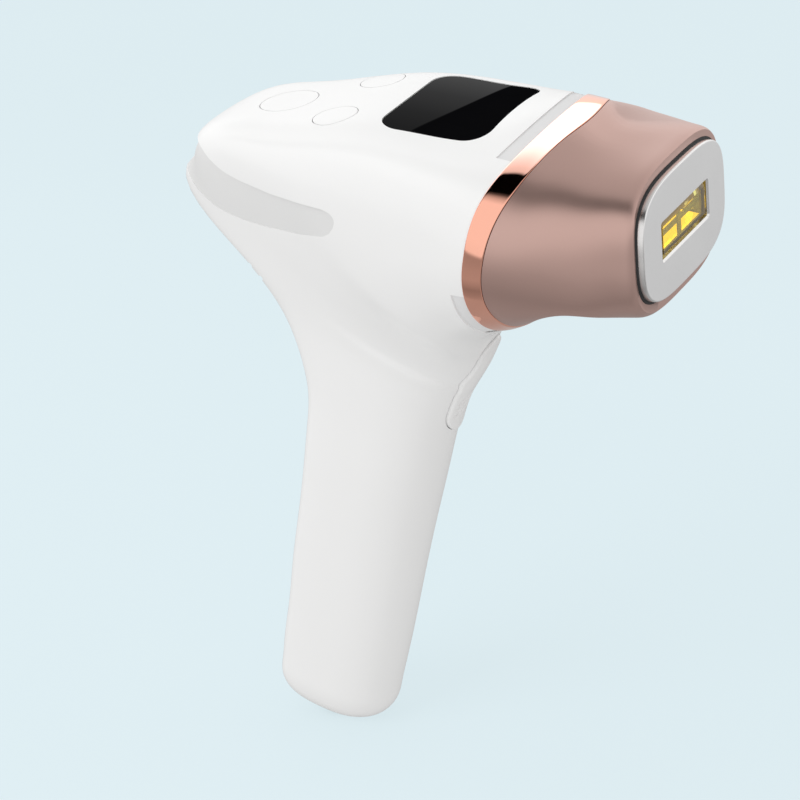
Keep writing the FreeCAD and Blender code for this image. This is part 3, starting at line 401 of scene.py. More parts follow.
def superellipse(half_y, half_z, power, count):
    angle = 2 * np.pi * np.arange(count) / count
    cos, sin = np.cos(angle), np.sin(angle)
    radius = ((np.abs(cos) / half_y) ** power + (np.abs(sin) / half_z) ** power) ** (-1.0 / power)
    return np.stack([radius * cos, radius * sin], 1)


def rounded_polygon(rows, steps=8):
    """Polygon of (x, z, corner radius) rows with its corners rounded."""
    corners = [np.array(row[:2], float) for row in rows]
    out = []
    for i, (_, _, radius) in enumerate(rows):
        before, corner, after = corners[i - 1], corners[i], corners[(i + 1) % len(corners)]
        if radius <= 0:
            out.append(tuple(corner))
            continue
        len_in, len_out = np.linalg.norm(before - corner), np.linalg.norm(after - corner)
        to_before, to_after = (before - corner) / len_in, (after - corner) / len_out
        angle = math.acos(float(np.clip(to_before @ to_after, -1, 1)))
        trim = min(radius / math.tan(angle / 2), 0.45 * len_in, 0.45 * len_out)
        for k in range(steps + 1):
            s = k / steps
            out.append(tuple((1 - s) ** 2 * (corner + to_before * trim)
                             + 2 * s * (1 - s) * corner
                             + s * s * (corner + to_after * trim)))
    return out


def densify(outline, step):
    """Outline function with its sides split so that none is longer than step at inset 0."""
    def dense(inset):
        points, plain = outline(inset), outline(0)
        out = []
        for k in range(len(points)):
            after = (k + 1) % len(points)
            side = np.array(plain[after]) - np.array(plain[k])
            parts = max(1, int(math.ceil(np.linalg.norm(side) / step)))
            start, end = np.array(points[k]), np.array(points[after])
            out += [tuple(start + (end - start) * j / parts) for j in range(parts)]
        return out
    return dense


# ------------------------------------------------------------------ reference skin
# A fine copy of the plain skin: parts are laid on it and shaded with its normals.
FLANK_TILT = 0.2475         # slope of the ring's front edge in the shading of the flanks
FLANK_FRONT = -5.5          # x where the straight flanks of the lamp head end


def straighten_flanks(grid, normals):
    """Blend the normals evenly along the flanks of the lamp head, ring to front end."""
    edge_x, _, swept = RING_FRONT
    for j in range(grid.shape[1]):
        x, y, z = grid[:, j].T
        rows = np.where(x > -48)[0]
        rows = rows[rows > grid.shape[0] // 2]
        edge = edge_x + FLANK_TILT * z - swept * y ** 2 / RING_HALF_WIDTH ** 2
        start = rows[np.argmin(np.abs(x[rows] - edge[rows] - 0.2))]
        end = rows[np.argmin(np.abs(x[rows] - FLANK_FRONT))]
        for i in range(start, end + 1):
            t = (x[i] - x[start]) / (x[end] - x[start])
            blend = normals[start, j] * (1 - t) + normals[end, j] * t
            normals[i, j] = blend / np.linalg.norm(blend)


def grid_normals(grid):
    """Outward vertex normals of a loop grid and its two end caps."""
    along = np.gradient(grid, axis=0)
    around = np.roll(grid, -1, 1) - np.roll(grid, 1, 1)
    normals = np.cross(along, around)
    normals /= np.maximum(np.linalg.norm(normals, axis=2), 1e-12)[..., None]
    if (normals * (grid - grid.mean(1, keepdims=True))).sum() < 0:
        normals = -normals
    caps = [unit(normals[0].mean(0)), unit(normals[-1].mean(0))]
    straighten_flanks(grid, normals)
    return np.vstack([normals.reshape(-1, 3), *caps])


reference_grid = skin_grid(0.0, step=1.0, count=200)
reference_verts, REF_FACES = grid_mesh(reference_grid)
REF_NORMALS = grid_normals(reference_grid)
REF_VERTS = [Vector(p) for p in reference_verts]
REF_TREE = BVHTree.FromPolygons(REF_VERTS, [tuple(f) for f in REF_FACES])

SKIN_MATCH = 0.965          # least cosine between a face and the skin for skin shading
SKIN_REACH = 1.6            # farthest a vertex may lie from the skin for skin shading


def shade_as_skin(mesh, match):
    """Shade the faces that lie along the housing skin with the normals of the skin itself."""
    skin_normal = np.zeros((len(mesh.vertices), 3))
    distance = np.zeros(len(mesh.vertices))
    for i, vertex in enumerate(mesh.vertices):
        point, _, face, distance[i] = REF_TREE.find_nearest(vertex.co / MM)
        corners = REF_FACES[face]
        weights = np.array(poly_3d_calc([REF_VERTS[j] for j in corners], point))
        normal = (REF_NORMALS[corners] * weights[:, None]).sum(0)
        skin_normal[i] = normal / max(np.linalg.norm(normal), 1e-9)
    corner_normals = np.zeros(len(mesh.loops) * 3)
    mesh.corner_normals.foreach_get("vector", corner_normals)
    corner_normals = corner_normals.reshape(-1, 3)
    corner_vertex = np.zeros(len(mesh.loops), int)
    mesh.loops.foreach_get("vertex_index", corner_vertex)
    starts, totals = (np.zeros(len(mesh.polygons), int) for _ in range(2))
    mesh.polygons.foreach_get("loop_start", starts)
    mesh.polygons.foreach_get("loop_total", totals)
    flat = np.zeros(len(mesh.polygons) * 3)
    mesh.polygons.foreach_get("normal", flat)
    corner_order = np.concatenate([np.arange(a, a + b) for a, b in zip(starts, totals)])
    face_normal = np.zeros((len(corner_order), 3))
    face_normal[corner_order] = np.repeat(flat.reshape(-1, 3), totals, 0)
    wanted = skin_normal[corner_vertex]
    along_skin = (face_normal * wanted).sum(1) > match
    along_skin &= distance[corner_vertex] < SKIN_REACH
    corner_normals[along_skin] = wanted[along_skin]
    mesh.normals_split_custom_set(corner_normals.tolist())


def piece(name, mesh, rides, node, mat, angle=30, skin_match=None):
    """Weld, clean and shade a mesh, and hand it over as an object in place of a CAD node."""
    bm = bmesh.new()
    bm.from_mesh(mesh)
    bmesh.ops.remove_doubles(bm, verts=bm.verts, dist=2e-7)
    bmesh.ops.dissolve_degenerate(bm, edges=bm.edges, dist=1e-7)
    bm.to_mesh(mesh)
    bm.free()
    for polygon in mesh.polygons:
        polygon.use_smooth = True
    mesh.set_sharp_from_angle(angle=math.radians(angle))
    if skin_match:
        shade_as_skin(mesh, skin_match)
    mesh.name = name
    obj = bpy.data.objects.new(name, mesh)
    bpy.context.scene.collection.objects.link(obj)
    mesh.materials.clear()
    mesh.materials.append(mat)
    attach(obj, rides)
    if node:
        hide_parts(node)
    return obj


# ------------------------------------------------------------------ shader helpers
def new_material(name):
    mat = bpy.data.materials.new(name)
    mat.use_nodes = True
    tree = mat.node_tree
    tree.nodes.clear()
    output = tree.nodes.new("ShaderNodeOutputMaterial")
    bsdf = tree.nodes.new("ShaderNodeBsdfPrincipled")
    tree.links.new(bsdf.outputs[0], output.inputs[0])
    return mat, tree, bsdf


def node_of_type(tree, kind):
    return next(node for node in tree.nodes if node.type == kind)


def noise(tree, vector, scale, detail=3.0, rough=0.55):
    node = tree.nodes.new("ShaderNodeTexNoise")
    node.inputs["Scale"].default_value = scale
    node.inputs["Detail"].default_value = detail
    node.inputs["Roughness"].default_value = rough
    node.inputs["Distortion"].default_value = 0.0
    tree.links.new(vector, node.inputs["Vector"])
    return node.outputs["Fac"]


def map_range(tree, value, to_min, to_max, from_min=0.3, from_max=0.7, curve="LINEAR"):
    node = tree.nodes.new("ShaderNodeMapRange")
    node.interpolation_type = curve
    node.inputs["From Min"].default_value = from_min
    node.inputs["From Max"].default_value = from_max
    node.inputs["To Min"].default_value = to_min
    node.inputs["To Max"].default_value = to_max
    tree.links.new(value, node.inputs["Value"])
    return node.outputs["Result"]


def mix_color(tree, factor, color_a, color_b):
    node = tree.nodes.new("ShaderNodeMix")
    node.data_type = "RGBA"
    # inputs 6 and 7 and output 2 are the colour sockets
    for socket, color in ((node.inputs[6], color_a), (node.inputs[7], color_b)):
        if isinstance(color, bpy.types.NodeSocket):
            tree.links.new(color, socket)
        else:
            socket.default_value = (*color, 1)
    tree.links.new(factor, node.inputs[0])
    return node.outputs[2]


def math_node(tree, operation, *values, clamp=False):
    node = tree.nodes.new("ShaderNodeMath")
    node.operation = operation
    node.use_clamp = clamp
    for socket, value in zip(node.inputs, values):
        if isinstance(value, bpy.types.NodeSocket):
            tree.links.new(value, socket)
        else:
            socket.default_value = value
    return node.outputs[0]


def color_ramp(tree, factor, stops):
    """Ramp through (position, (r, g, b)) stops."""
    node = tree.nodes.new("ShaderNodeValToRGB")
    tree.links.new(factor, node.inputs["Fac"])
    elements = node.color_ramp.elements
    for element, (position, color) in ((elements[0], stops[0]), (elements[1], stops[-1])):
        element.position, element.color = position, (*color, 1)
    for position, color in stops[1:-1]:
        elements.new(position).color = (*color, 1)
    return node.outputs["Color"]


def split_coords(tree, output):
    """X, Y and Z sockets of a texture coordinate."""
    coords = tree.nodes.new("ShaderNodeTexCoord")
    split = tree.nodes.new("ShaderNodeSeparateXYZ")
    tree.links.new(coords.outputs[output], split.inputs[0])
    return split.outputs


# ------------------------------------------------------------------ materials
MAT = {}


def add_wear_and_hollow_shade(tree, vector, color, base):
    """Lighter broken edges from wear, and painted shade that darkens the recesses."""
    pointiness = tree.nodes.new("ShaderNodeNewGeometry").outputs["Pointiness"]
    edges = map_range(tree, pointiness, 0.0, 0.3, 0.53, 0.60)
    patches = map_range(tree, noise(tree, vector, 300.0, 5.0), 0.2, 1.0, 0.4, 0.6)
    worn = math_node(tree, "MULTIPLY", edges, patches)
    color = mix_color(tree, worn, color, np.clip(base * 1.25 + 0.03, 0, 1))
    # painted shade: concave places, found by pointiness, are darkened toward half the base colour
    hollow_shade = map_range(tree, pointiness, 0.4, 0.0, 0.40, 0.48)
    return mix_color(tree, hollow_shade, color, base * 0.5)


def material(name, color, rough, metal=0.0, color_var=0.03, rough_var=0.06, bump=0.0,
             grain_scale=2600.0, stretch=(1, 1, 1), coat=0.0, coat_rough=0.1, bevel=0.0,
             worn=False, specular=0.5, transmission=0.0, ior=1.5, sheen=0.0):
    """Principled material with noise in its colour and roughness, and an optional fine bump.

    grain_scale and stretch shape the fine grain; bevel is a rounding radius in metres.
    """
    mat, tree, bsdf = new_material(name)
    MAT[name] = mat
    vector = tree.nodes.new("ShaderNodeTexCoord").outputs["Object"]
    mapping = tree.nodes.new("ShaderNodeMapping")
    mapping.inputs["Scale"].default_value = stretch
    tree.links.new(vector, mapping.inputs["Vector"])
    stretched = mapping.outputs["Vector"]
    base = np.array(color, float)
    dark, light = np.clip(base * (1 - color_var), 0, 1), np.clip(base * (1 + color_var), 0, 1)
    clouds = map_range(tree, noise(tree, vector, 55.0, 4.0), 0, 1)
    shade = mix_color(tree, clouds, dark, light)
    grain = noise(tree, stretched, grain_scale, 2.0, 0.6)
    specks = map_range(tree, grain, 0, 0.35, 0.35, 0.65)
    shade = mix_color(tree, specks, shade, np.clip(base * (1 - 1.2 * color_var), 0, 1))
    # worn adds edge wear and painted shade in the recesses
    if worn:
        shade = add_wear_and_hollow_shade(tree, vector, shade, base)
    tree.links.new(shade, bsdf.inputs["Base Color"])
    roughness = map_range(tree, noise(tree, stretched, 420.0, 4.0, 0.6),
                          max(rough - rough_var, 0.02), min(rough + rough_var, 1))
    tree.links.new(roughness, bsdf.inputs["Roughness"])
    for socket, value in (("Metallic", metal), ("IOR", ior), ("Specular IOR Level", specular),
                          ("Coat Weight", coat), ("Coat Roughness", coat_rough),
                          ("Transmission Weight", transmission), ("Sheen Weight", sheen)):
        bsdf.inputs[socket].default_value = value
    if bump <= 0:
        return
    bump_node = tree.nodes.new("ShaderNodeBump")
    bump_node.inputs["Strength"].default_value = bump
    bump_node.inputs["Distance"].default_value = 0.00004
    tree.links.new(grain, bump_node.inputs["Height"])
    if bevel > 0:
        bevel_node = tree.nodes.new("ShaderNodeBevel")
        bevel_node.samples = 4
        bevel_node.inputs["Radius"].default_value = bevel
        tree.links.new(bevel_node.outputs[0], bump_node.inputs["Normal"])
    tree.links.new(bump_node.outputs[0], bsdf.inputs["Normal"])


material("white_body", (0.845, 0.845, 0.84), rough=0.30, color_var=0.004, rough_var=0.02,
         grain_scale=900, coat=0.35, coat_rough=0.16)
material("band_grey", (0.72, 0.72, 0.715), rough=0.42, color_var=0.01, rough_var=0.03,
         grain_scale=900)
# grip pads: a grey of their own, and the grey also serves as painted shade of the recesses they sit
# in
material("pad_grey_and_recess_shade", (0.70, 0.70, 0.70), rough=0.62, color_var=0.02, rough_var=0.04,
         bump=0.05, grain_scale=1500, sheen=0.2)
material("rose_ring", (1.0, 0.50, 0.37), rough=0.05, metal=1.0, color_var=0.01,
         rough_var=0.012, bump=0.015, grain_scale=900)
material("rose_shell", (0.61, 0.405, 0.355), rough=0.36, metal=0.88, color_var=0.012,
         rough_var=0.012)
material("black_glass", (0.003, 0.003, 0.0035), rough=0.06, color_var=0.1, rough_var=0.015,
         bump=0.004, grain_scale=500, specular=0.0, bevel=0.00012)
material("plate_face", (0.70, 0.70, 0.70), rough=0.50, metal=0.2, color_var=0.02,
         bump=0.12, grain_scale=4200)
material("plate_side", (0.80, 0.79, 0.78), rough=0.27, metal=1.0, color_var=0.06,
         rough_var=0.10, bump=0.25, grain_scale=1500, stretch=(1.0, 0.05, 0.05))
material("gasket_black", (0.02, 0.02, 0.021), rough=0.7, color_var=0.1, bump=0.1,
         grain_scale=2200)
material("amber_glass", (1.0, 0.86, 0.22), rough=0.03, color_var=0.02, rough_var=0.01,
         bump=0.003, grain_scale=350, transmission=1.0, coat=0.3, coat_rough=0.02)
material("reflector_mirror", (0.94, 0.94, 0.93), rough=0.09, metal=1.0, color_var=0.02,
         rough_var=0.04, bump=0.02, grain_scale=700)
material("quartz_tube", (0.10, 0.055, 0.03), rough=0.12, color_var=0.05, rough_var=0.02,
         bump=0.003, grain_scale=400, ior=1.46)
material("seal_grey", (0.10, 0.10, 0.10), rough=0.7, color_var=0.08, bump=0.15,
         grain_scale=2500)

# Inner parts: material, colour, roughness, metallic, grain scale, bump, CAD nodes that wear it
INNER = [
    ("frame_black", (0.035, 0.035, 0.037), 0.48, 0, 2600, 0.14,
     "chassis head_carrier head_socket fan_frame power_jack trigger_switch"),
    ("nylon_grey", (0.34, 0.34, 0.35), 0.5, 0, 2400, 0.12, "capacitor_saddles fan_rotor"),
    ("board_green", (0.02, 0.13, 0.06), 0.36, 0, 1500, 0.10,
     "main_board button_board display_board trigger_board"),
    ("chip_black", (0.018, 0.018, 0.02), 0.45, 0, 2600, 0.10,
     "board_chips power_transistors display_module"),
    ("connector_cream", (0.74, 0.70, 0.60), 0.45, 0, 2400, 0.1, "board_connectors"),
    ("steel", (0.62, 0.62, 0.63), 0.24, 1, 1700, 0.12,
     "cover_screws housing_screws board_screws fan_screws head_screws trigger_springs "
     "head_keepers lamp_electrodes"),
    ("aluminium", (0.76, 0.77, 0.78), 0.32, 1, 1600, 0.16, "transistor_heat_sink head_heat_sinks"),
    ("gold", (0.90, 0.68, 0.30), 0.2, 1, 1800, 0.05, "socket_pins head_contacts jack_contacts"),
    ("copper", (0.80, 0.38, 0.19), 0.28, 1, 1400, 0.1,
     "transformer_winding trigger_coil fan_coil"),
    ("ferrite", (0.055, 0.055, 0.06), 0.55, 0, 1300, 0.25, "transformer_core"),
    ("silicone", (0.72, 0.73, 0.74), 0.55, 0, 2400, 0.1, "button_keypad"),
    ("sleeve_black", (0.03, 0.03, 0.04), 0.33, 0, 900, 0.05, "storage_capacitor"),
    ("ceramic", (0.86, 0.85, 0.82), 0.5, 0, 2000, 0.16, "cooling_modules lamp_holders"),
    ("wire_red", (0.45, 0.03, 0.025), 0.45, 0, 1800, 0.1, "jack_cable head_cable lamp_leads"),
    ("magnet", (0.70, 0.71, 0.73), 0.18, 1, 1200, 0.04, "socket_magnets"),
]
for name, color, rough, metal, grain_scale, bump, _ in INNER:
    material(name, color, rough=rough, metal=metal, color_var=0.07, rough_var=0.08,
             bump=bump, grain_scale=grain_scale, bevel=0.0001, worn=True)

material("lamp_bar", (0.055, 0.035, 0.025), rough=0.4, color_var=0.1, rough_var=0.05)


def pass_shadow_rays(name, tint):
    """Let light straight through the glass, so that what lies behind it is lit."""
    tree = MAT[name].node_tree
    output = node_of_type(tree, "OUTPUT_MATERIAL")
    surface = output.inputs[0].links[0].from_socket
    path = tree.nodes.new("ShaderNodeLightPath")
    clear = tree.nodes.new("ShaderNodeBsdfTransparent")
    clear.inputs[0].default_value = (*tint, 1)
    mix = tree.nodes.new("ShaderNodeMixShader")
    tree.links.new(path.outputs["Is Shadow Ray"], mix.inputs[0])
    tree.links.new(surface, mix.inputs[1])
    tree.links.new(clear.outputs[0], mix.inputs[2])
    tree.links.new(mix.outputs[0], output.inputs[0])


# painted light: gives a material a fixed glow though it is no lamp
def glow(name, color, strength):
    bsdf = node_of_type(MAT[name].node_tree, "BSDF_PRINCIPLED")
    bsdf.inputs["Emission Color"].default_value = (*color, 1)
    bsdf.inputs["Emission Strength"].default_value = strength


# painted light: gives a material a glow whose colour and strength come from nodes
def linked_glow(name, color, strength):
    tree = MAT[name].node_tree
    bsdf = node_of_type(tree, "BSDF_PRINCIPLED")
    tree.links.new(color, bsdf.inputs["Emission Color"])
    tree.links.new(strength, bsdf.inputs["Emission Strength"])


def display_painted_highlight():
    """Painted highlight on the display glass: a soft emission behind a diagonal edge, brighter
    toward +Y.
    """
    slope, edge_offset = 0.256, 0.0596      # edge: x = slope * y - edge_offset
    sharpness = 1800.0
    ramp_start, ramp_scale = 0.022, 25.0    # the ramp runs from y = -0.022 over 1 / 25 m
    stops = [(0.0, 0.010), (0.35, 0.018), (0.7, 0.034), (1.0, 0.062)]   # position, grey
    tree = MAT["black_glass"].node_tree
    xyz = split_coords(tree, "Object")
    edge = math_node(tree, "SUBTRACT", math_node(tree, "MULTIPLY", xyz["Y"], slope), edge_offset)
    mask = math_node(tree, "MULTIPLY", math_node(tree, "SUBTRACT", edge, xyz["X"]),
                     sharpness, clamp=True)
    along = math_node(tree, "MULTIPLY", math_node(tree, "ADD", xyz["Y"], ramp_start),
                      ramp_scale, clamp=True)
    color = color_ramp(tree, along, [(position, (grey,) * 3) for position, grey in stops])
    # painted highlight: the black glass glows in this colour inside the mask
    linked_glow("black_glass", color, mask)


def ring_painted_reflection():
    """Painted reflection on the polished ring: an emission coloured by the reflection direction
    stands in for a brighter soft panel overhead.
    """
    painted_panel_start, sharpness = 0.28, 12.0     # upward part of the reflection where it begins
    stops = [       # sideways part of the reflection + 0.5, colour
        (0.17, (0, 0, 0)), (0.24, (0.28, 0.19, 0.17)), (0.33, (0.38, 0.26, 0.23)),
        (0.48, (0.60, 0.44, 0.40)), (0.67, (0.95, 0.74, 0.68)), (0.85, (1.2, 0.95, 0.90))]
    tree = MAT["rose_ring"].node_tree
    xyz = split_coords(tree, "Reflection")
    color = color_ramp(tree, math_node(tree, "ADD", xyz["Y"], 0.5, clamp=True), stops)
    strength = math_node(tree, "MULTIPLY", math_node(tree, "SUBTRACT", xyz["Z"], painted_panel_start),
                         sharpness, clamp=True)
    # painted reflection: the ring glows in this colour where the reflection points upward
    linked_glow("rose_ring", color, strength)


pass_shadow_rays("amber_glass", tint=(1.0, 0.72, 0.18))
pass_shadow_rays("quartz_tube", tint=(0.97, 0.98, 1.0))
display_painted_highlight()
ring_painted_reflection()
# painted light: the reflector and the amber glass glow, standing in for light thrown back by the
# reflector and carried inside the amber glass
glow("reflector_mirror", color=(1.0, 0.68, 0.0), strength=1.3)
glow("amber_glass", color=(1.0, 0.62, 0.0), strength=0.04)

# ------------------------------------------------------------------ housing shell
body = cut(shell_skin(0.0, -WALL), ahead_of(RING_BACK))

# Rear band: x, z, corner radius, seen from the side; upper edge, front end, lower edge
BAND_UPPER = [
    (-160.0, 17.0, 0), (-136.0, 15.6, 20), (-130.0, 13.6, 20), (-125.6, 10.6, 20),
    (-121.0, 8.3, 20), (-115.0, 6.9, 20), (-105.0, 5.4, 20), (-94.0, 4.7, 20)]
BAND_FRONT = [
    (-88.0, 4.5, 4), (-85.6, 3.9, 3), (-84.4, 2.9, 3), (-84.1, 1.6, 3), (-84.8, -0.2, 3),
    (-86.6, -2.3, 3)]
BAND_LOWER = [
    (-89.0, -3.6, 4), (-97.0, -5.0, 8), (-108.0, -5.5, 20), (-117.0, -5.4, 20),
    (-126.0, -4.3, 20), (-132.0, -2.2, 20), (-138.0, 0.6, 20), (-145.0, 2.4, 20),
    (-160.0, 3.6, 0)]
# where the two edges end when they are extended to the band's front
BAND_UPPER_END, BAND_LOWER_END = (-84.0, 3.9, 0), (-84.0, -1.0, 0)
BAND_RECESS, BAND_INNER = -1.9, -1.75       # skin offsets of the recess floor and band inside
BAND_SUNK, BAND_FLUSH = -1.25, -0.12        # band surface at its lower and upper edge


def band_surface():
    """Solid whose skin runs from sunk at the band's lower edge to nearly flush at the upper."""
    sunk, flush = skin_grid(BAND_SUNK), skin_grid(BAND_FLUSH)
    upper = np.array(BAND_UPPER + [BAND_UPPER_END])
    lower = np.array(BAND_LOWER[::-1] + [BAND_LOWER_END])
    top = np.interp(sunk[..., 0], upper[:, 0], upper[:, 1])
    bottom = np.interp(sunk[..., 0], lower[:, 0], lower[:, 1])
    rise = np.clip((sunk[..., 2] - bottom) / (top - bottom), 0, 1) ** 0.8
    return loft(sunk * (1 - rise[..., None] * 0 - (1 - rise[..., None]))
                + flush * (1 - rise[..., None]))


band_zone = prism(rounded_polygon(BAND_UPPER + BAND_FRONT + BAND_LOWER), -60, 60, 1)
body = cut(body, cut(band_zone, solid_skin(BAND_RECESS)))
band = overlap(cut(band_surface(), solid_skin(BAND_INNER)), band_zone)
piece("band_wrap", band, "housing", "rear_band", MAT["band_grey"], skin_match=SKIN_MATCH)

# Grip pads behind the ring: piece, CAD node, length along x, half width, bottom z, top z
PADS = [("pad_top", "top_grip_pad", 4.2, 23.5, 10, 40),
        ("pad_low", "lower_grip_pads", 4.0, 60, -29.0, -12.6)]
PAD_FACE, PAD_FLOOR = -0.35, -1.5       # skin offsets of the pad surface and recess floor

pad_core = solid_skin(PAD_FLOOR, first=FROM_RING)
pad_layer = shell_skin(PAD_FACE, PAD_FLOOR, first=FROM_RING)
for name, node, length, half_y, z0, z1 in PADS:
    beside_ring = cut(ahead_of(RING_BACK, -length), ahead_of(RING_BACK))
    zone = overlap(beside_ring, box(-70, 0, -half_y, half_y, z0, z1))
    pad = overlap(pad_layer, zone)
    body = cut(body, cut(zone, pad_core))
    piece(name, pad, "housing", node, MAT["pad_grey_and_recess_shade"], skin_match=SKIN_MATCH)

# Opening of the flash trigger in the front of the grip
TRIGGER_OUT = unit((0.875, 0, -0.484))
TRIGGER_UP = np.array((-TRIGGER_OUT[2], 0, TRIGGER_OUT[0]))
TRIGGER_CENTRE = np.array((-62.6, 0, -53.7))
TRIGGER_HALF_LENGTH, TRIGGER_HALF_WIDTH = 16.0, 5.6
TRIGGER_GAP = 0.22
TRIGGER_CUT = (-9, 14)      # depth range of the opening along TRIGGER_OUT

trigger_opening = [
    TRIGGER_CENTRE + TRIGGER_UP * u + LEFT * y + TRIGGER_OUT * TRIGGER_CUT[0]
    for u, y in stadium(TRIGGER_HALF_LENGTH + TRIGGER_GAP, TRIGGER_HALF_WIDTH + TRIGGER_GAP)]
body = cut(body, sweep(trigger_opening, TRIGGER_OUT * (TRIGGER_CUT[1] - TRIGGER_CUT[0])))

# ------------------------------------------------------------------ top cover
SEAM = [(-170, 4.3), (-100, 6.3), (-60, 7.4), (20, 12.0)]       # x, z of the lower edge
DISPLAY_X0, DISPLAY_X1, DISPLAY_HALF_Y, DISPLAY_CORNER = -75.0, -44.8, 19.6, 6.5
DISPLAY_GAP, DISPLAY_LEDGE = 0.10, 2.5
DISPLAY_FLOOR = -1.75       # skin offset of the ledge under the glass

# Button plane: u forward, v left, w out of the cover
BUTTON_OUT = unit((-0.19, 0, 0.982))
BUTTON_U = np.array((BUTTON_OUT[2], 0, -BUTTON_OUT[0]))
BUTTON_ORIGIN = np.array((-97.0, 0, 12.5))
BUTTON_GAP = 0.20
BUTTON_REACH = 34           # length of the cylinders that cut caps and openings
# piece, CAD node, u, v, radius, w of the flange
BUTTONS = [("cap_power", "power_button", -11.6, 0.0, 7.8, 7.6),
           ("cap_mode", "mode_button", 9.7, -13.2, 5.9, 4.2),
           ("cap_level", "level_button", 9.7, 13.2, 5.9, 4.2)]


def button_point(u, v, w):
    return BUTTON_ORIGIN + BUTTON_U * u + LEFT * v + BUTTON_OUT * w


def display_outline(inset, radius, steps=14):
    return rounded_rect(DISPLAY_X0 + inset, DISPLAY_X1 - inset,
                        -DISPLAY_HALF_Y + inset, DISPLAY_HALF_Y - inset, radius, steps)


cover_zone = prism(SEAM + [(20, 60), (-170, 60)], -60, 60, 1)
cover = overlap(body, cover_zone)
lower = cut(body, cover_zone)

glass_zone = prism(display_outline(-DISPLAY_GAP, DISPLAY_CORNER + DISPLAY_GAP), 5, 45, 2)
cover = cut(cover, cut(glass_zone, solid_skin(DISPLAY_FLOOR, first=FROM_DISPLAY)))
cover = cut(cover, prism(display_outline(DISPLAY_LEDGE, DISPLAY_CORNER - 1.5), 5, 45, 2))
for _, _, u, v, radius, flange_w in BUTTONS:
    cover = cut(cover, cylinder(button_point(u, v, flange_w - 3), BUTTON_OUT,
                                radius + BUTTON_GAP, BUTTON_REACH, count=128))
piece("cover_top", cover, "housing", "top_cover", MAT["white_body"], skin_match=SKIN_MATCH)

# ------------------------------------------------------------------ housing halves
# Power inlet in the grip end
INLET_RADIUS = 4.25
inlet_axis = unit(GRIP_AXIS)
under_x, under_z, over_x, over_z = SECTIONS[0][:4]
end_centre = np.array([(under_x + over_x) / 2, 0, (under_z + over_z) / 2]) - GRIP_AXIS * END_LENGTH
lower = cut(lower, cylinder(end_centre - inlet_axis * 3, inlet_axis, INLET_RADIUS, 20))

# Exhaust slots low on the back, with rounded ends
VENT_AXIS = unit((0.78, 0, 0.625))
VENT_ACROSS = np.array((VENT_AXIS[2], 0, -VENT_AXIS[0]))
VENT_CENTRE = np.array((-108.6, 0, -11.2))
VENT_HALF_WIDTH = 0.8
VENT_START, VENT_DEPTH = 30, 25.5       # start behind VENT_CENTRE, length of the cut
# place along VENT_ACROSS, half length
VENTS = ((-4.4, 9), (0.1, 13.6), (4.6, 13.6), (9, 9))
for place, half_length in VENTS:
    slot = [VENT_CENTRE + VENT_ACROSS * (place + across) + LEFT * y - VENT_AXIS * VENT_START
            for y, across in stadium(half_length, VENT_HALF_WIDTH, 8)]
    lower = cut(lower, sweep(slot, VENT_AXIS * VENT_DEPTH))

half_right = overlap(lower, box(-200, 60, -70, 0, -220, 60))
half_left = overlap(lower, box(-200, 60, 0, 70, -220, 60))

# Screw bosses inside the halves: x, z, y where the wide bore starts
BOSSES = [(-107.6, -149.4, 4.0), (-86.5, -88.0, 5.0), (-103.5, -49.0, 5.0),
          (-133.0, -2.6, 5.0), (-58.0, -26.0, 6.0)]
BOSS_RADIUS, SCREW_RADIUS, WIDE_BORE_RADIUS = 3.1, 1.1, 2.3
SCREW_END_Y = -6.5
cavity = solid_skin(-WALL)
for x, z, wide_y in BOSSES:
    post_right, post_left = (
        overlap(cylinder((x, 0, z), (0, side, 0), BOSS_RADIUS, 60, count=40), cavity)
        for side in (-1, 1))
    bore = cylinder((x, SCREW_END_Y, z), LEFT, SCREW_RADIUS, wide_y - SCREW_END_Y, count=32)
    wide_bore = cylinder((x, wide_y, z), LEFT, WIDE_BORE_RADIUS, 60, count=40)
    half_right = cut(fuse(half_right, post_right), bore)
    half_left = cut(fuse(half_left, post_left), bore, wide_bore)
for name, node, mesh in (("half_right", "housing_right", half_right),
                         ("half_left", "housing_left", half_left)):
    piece(name, mesh, "housing", node, MAT["white_body"], skin_match=SKIN_MATCH)


# ------------------------------------------------------------------ buttons
button_skin = solid_skin(0.0, step=1.0, count=160)
for name, node, u, v, radius, flange_w in BUTTONS:
    cap = overlap(button_skin, cylinder(button_point(u, v, flange_w - 0.4), BUTTON_OUT, radius,
                                        BUTTON_REACH, count=128))
    flange = cylinder(button_point(u, v, flange_w - 0.8), BUTTON_OUT, radius + 0.9, 0.5)
    stem = cylinder(button_point(u, v, 2.3), BUTTON_OUT, 1.5, flange_w - 2.4, count=40)
    piece(name, merged([cap, flange, stem]), node, node, MAT["white_body"],
          skin_match=SKIN_MATCH)


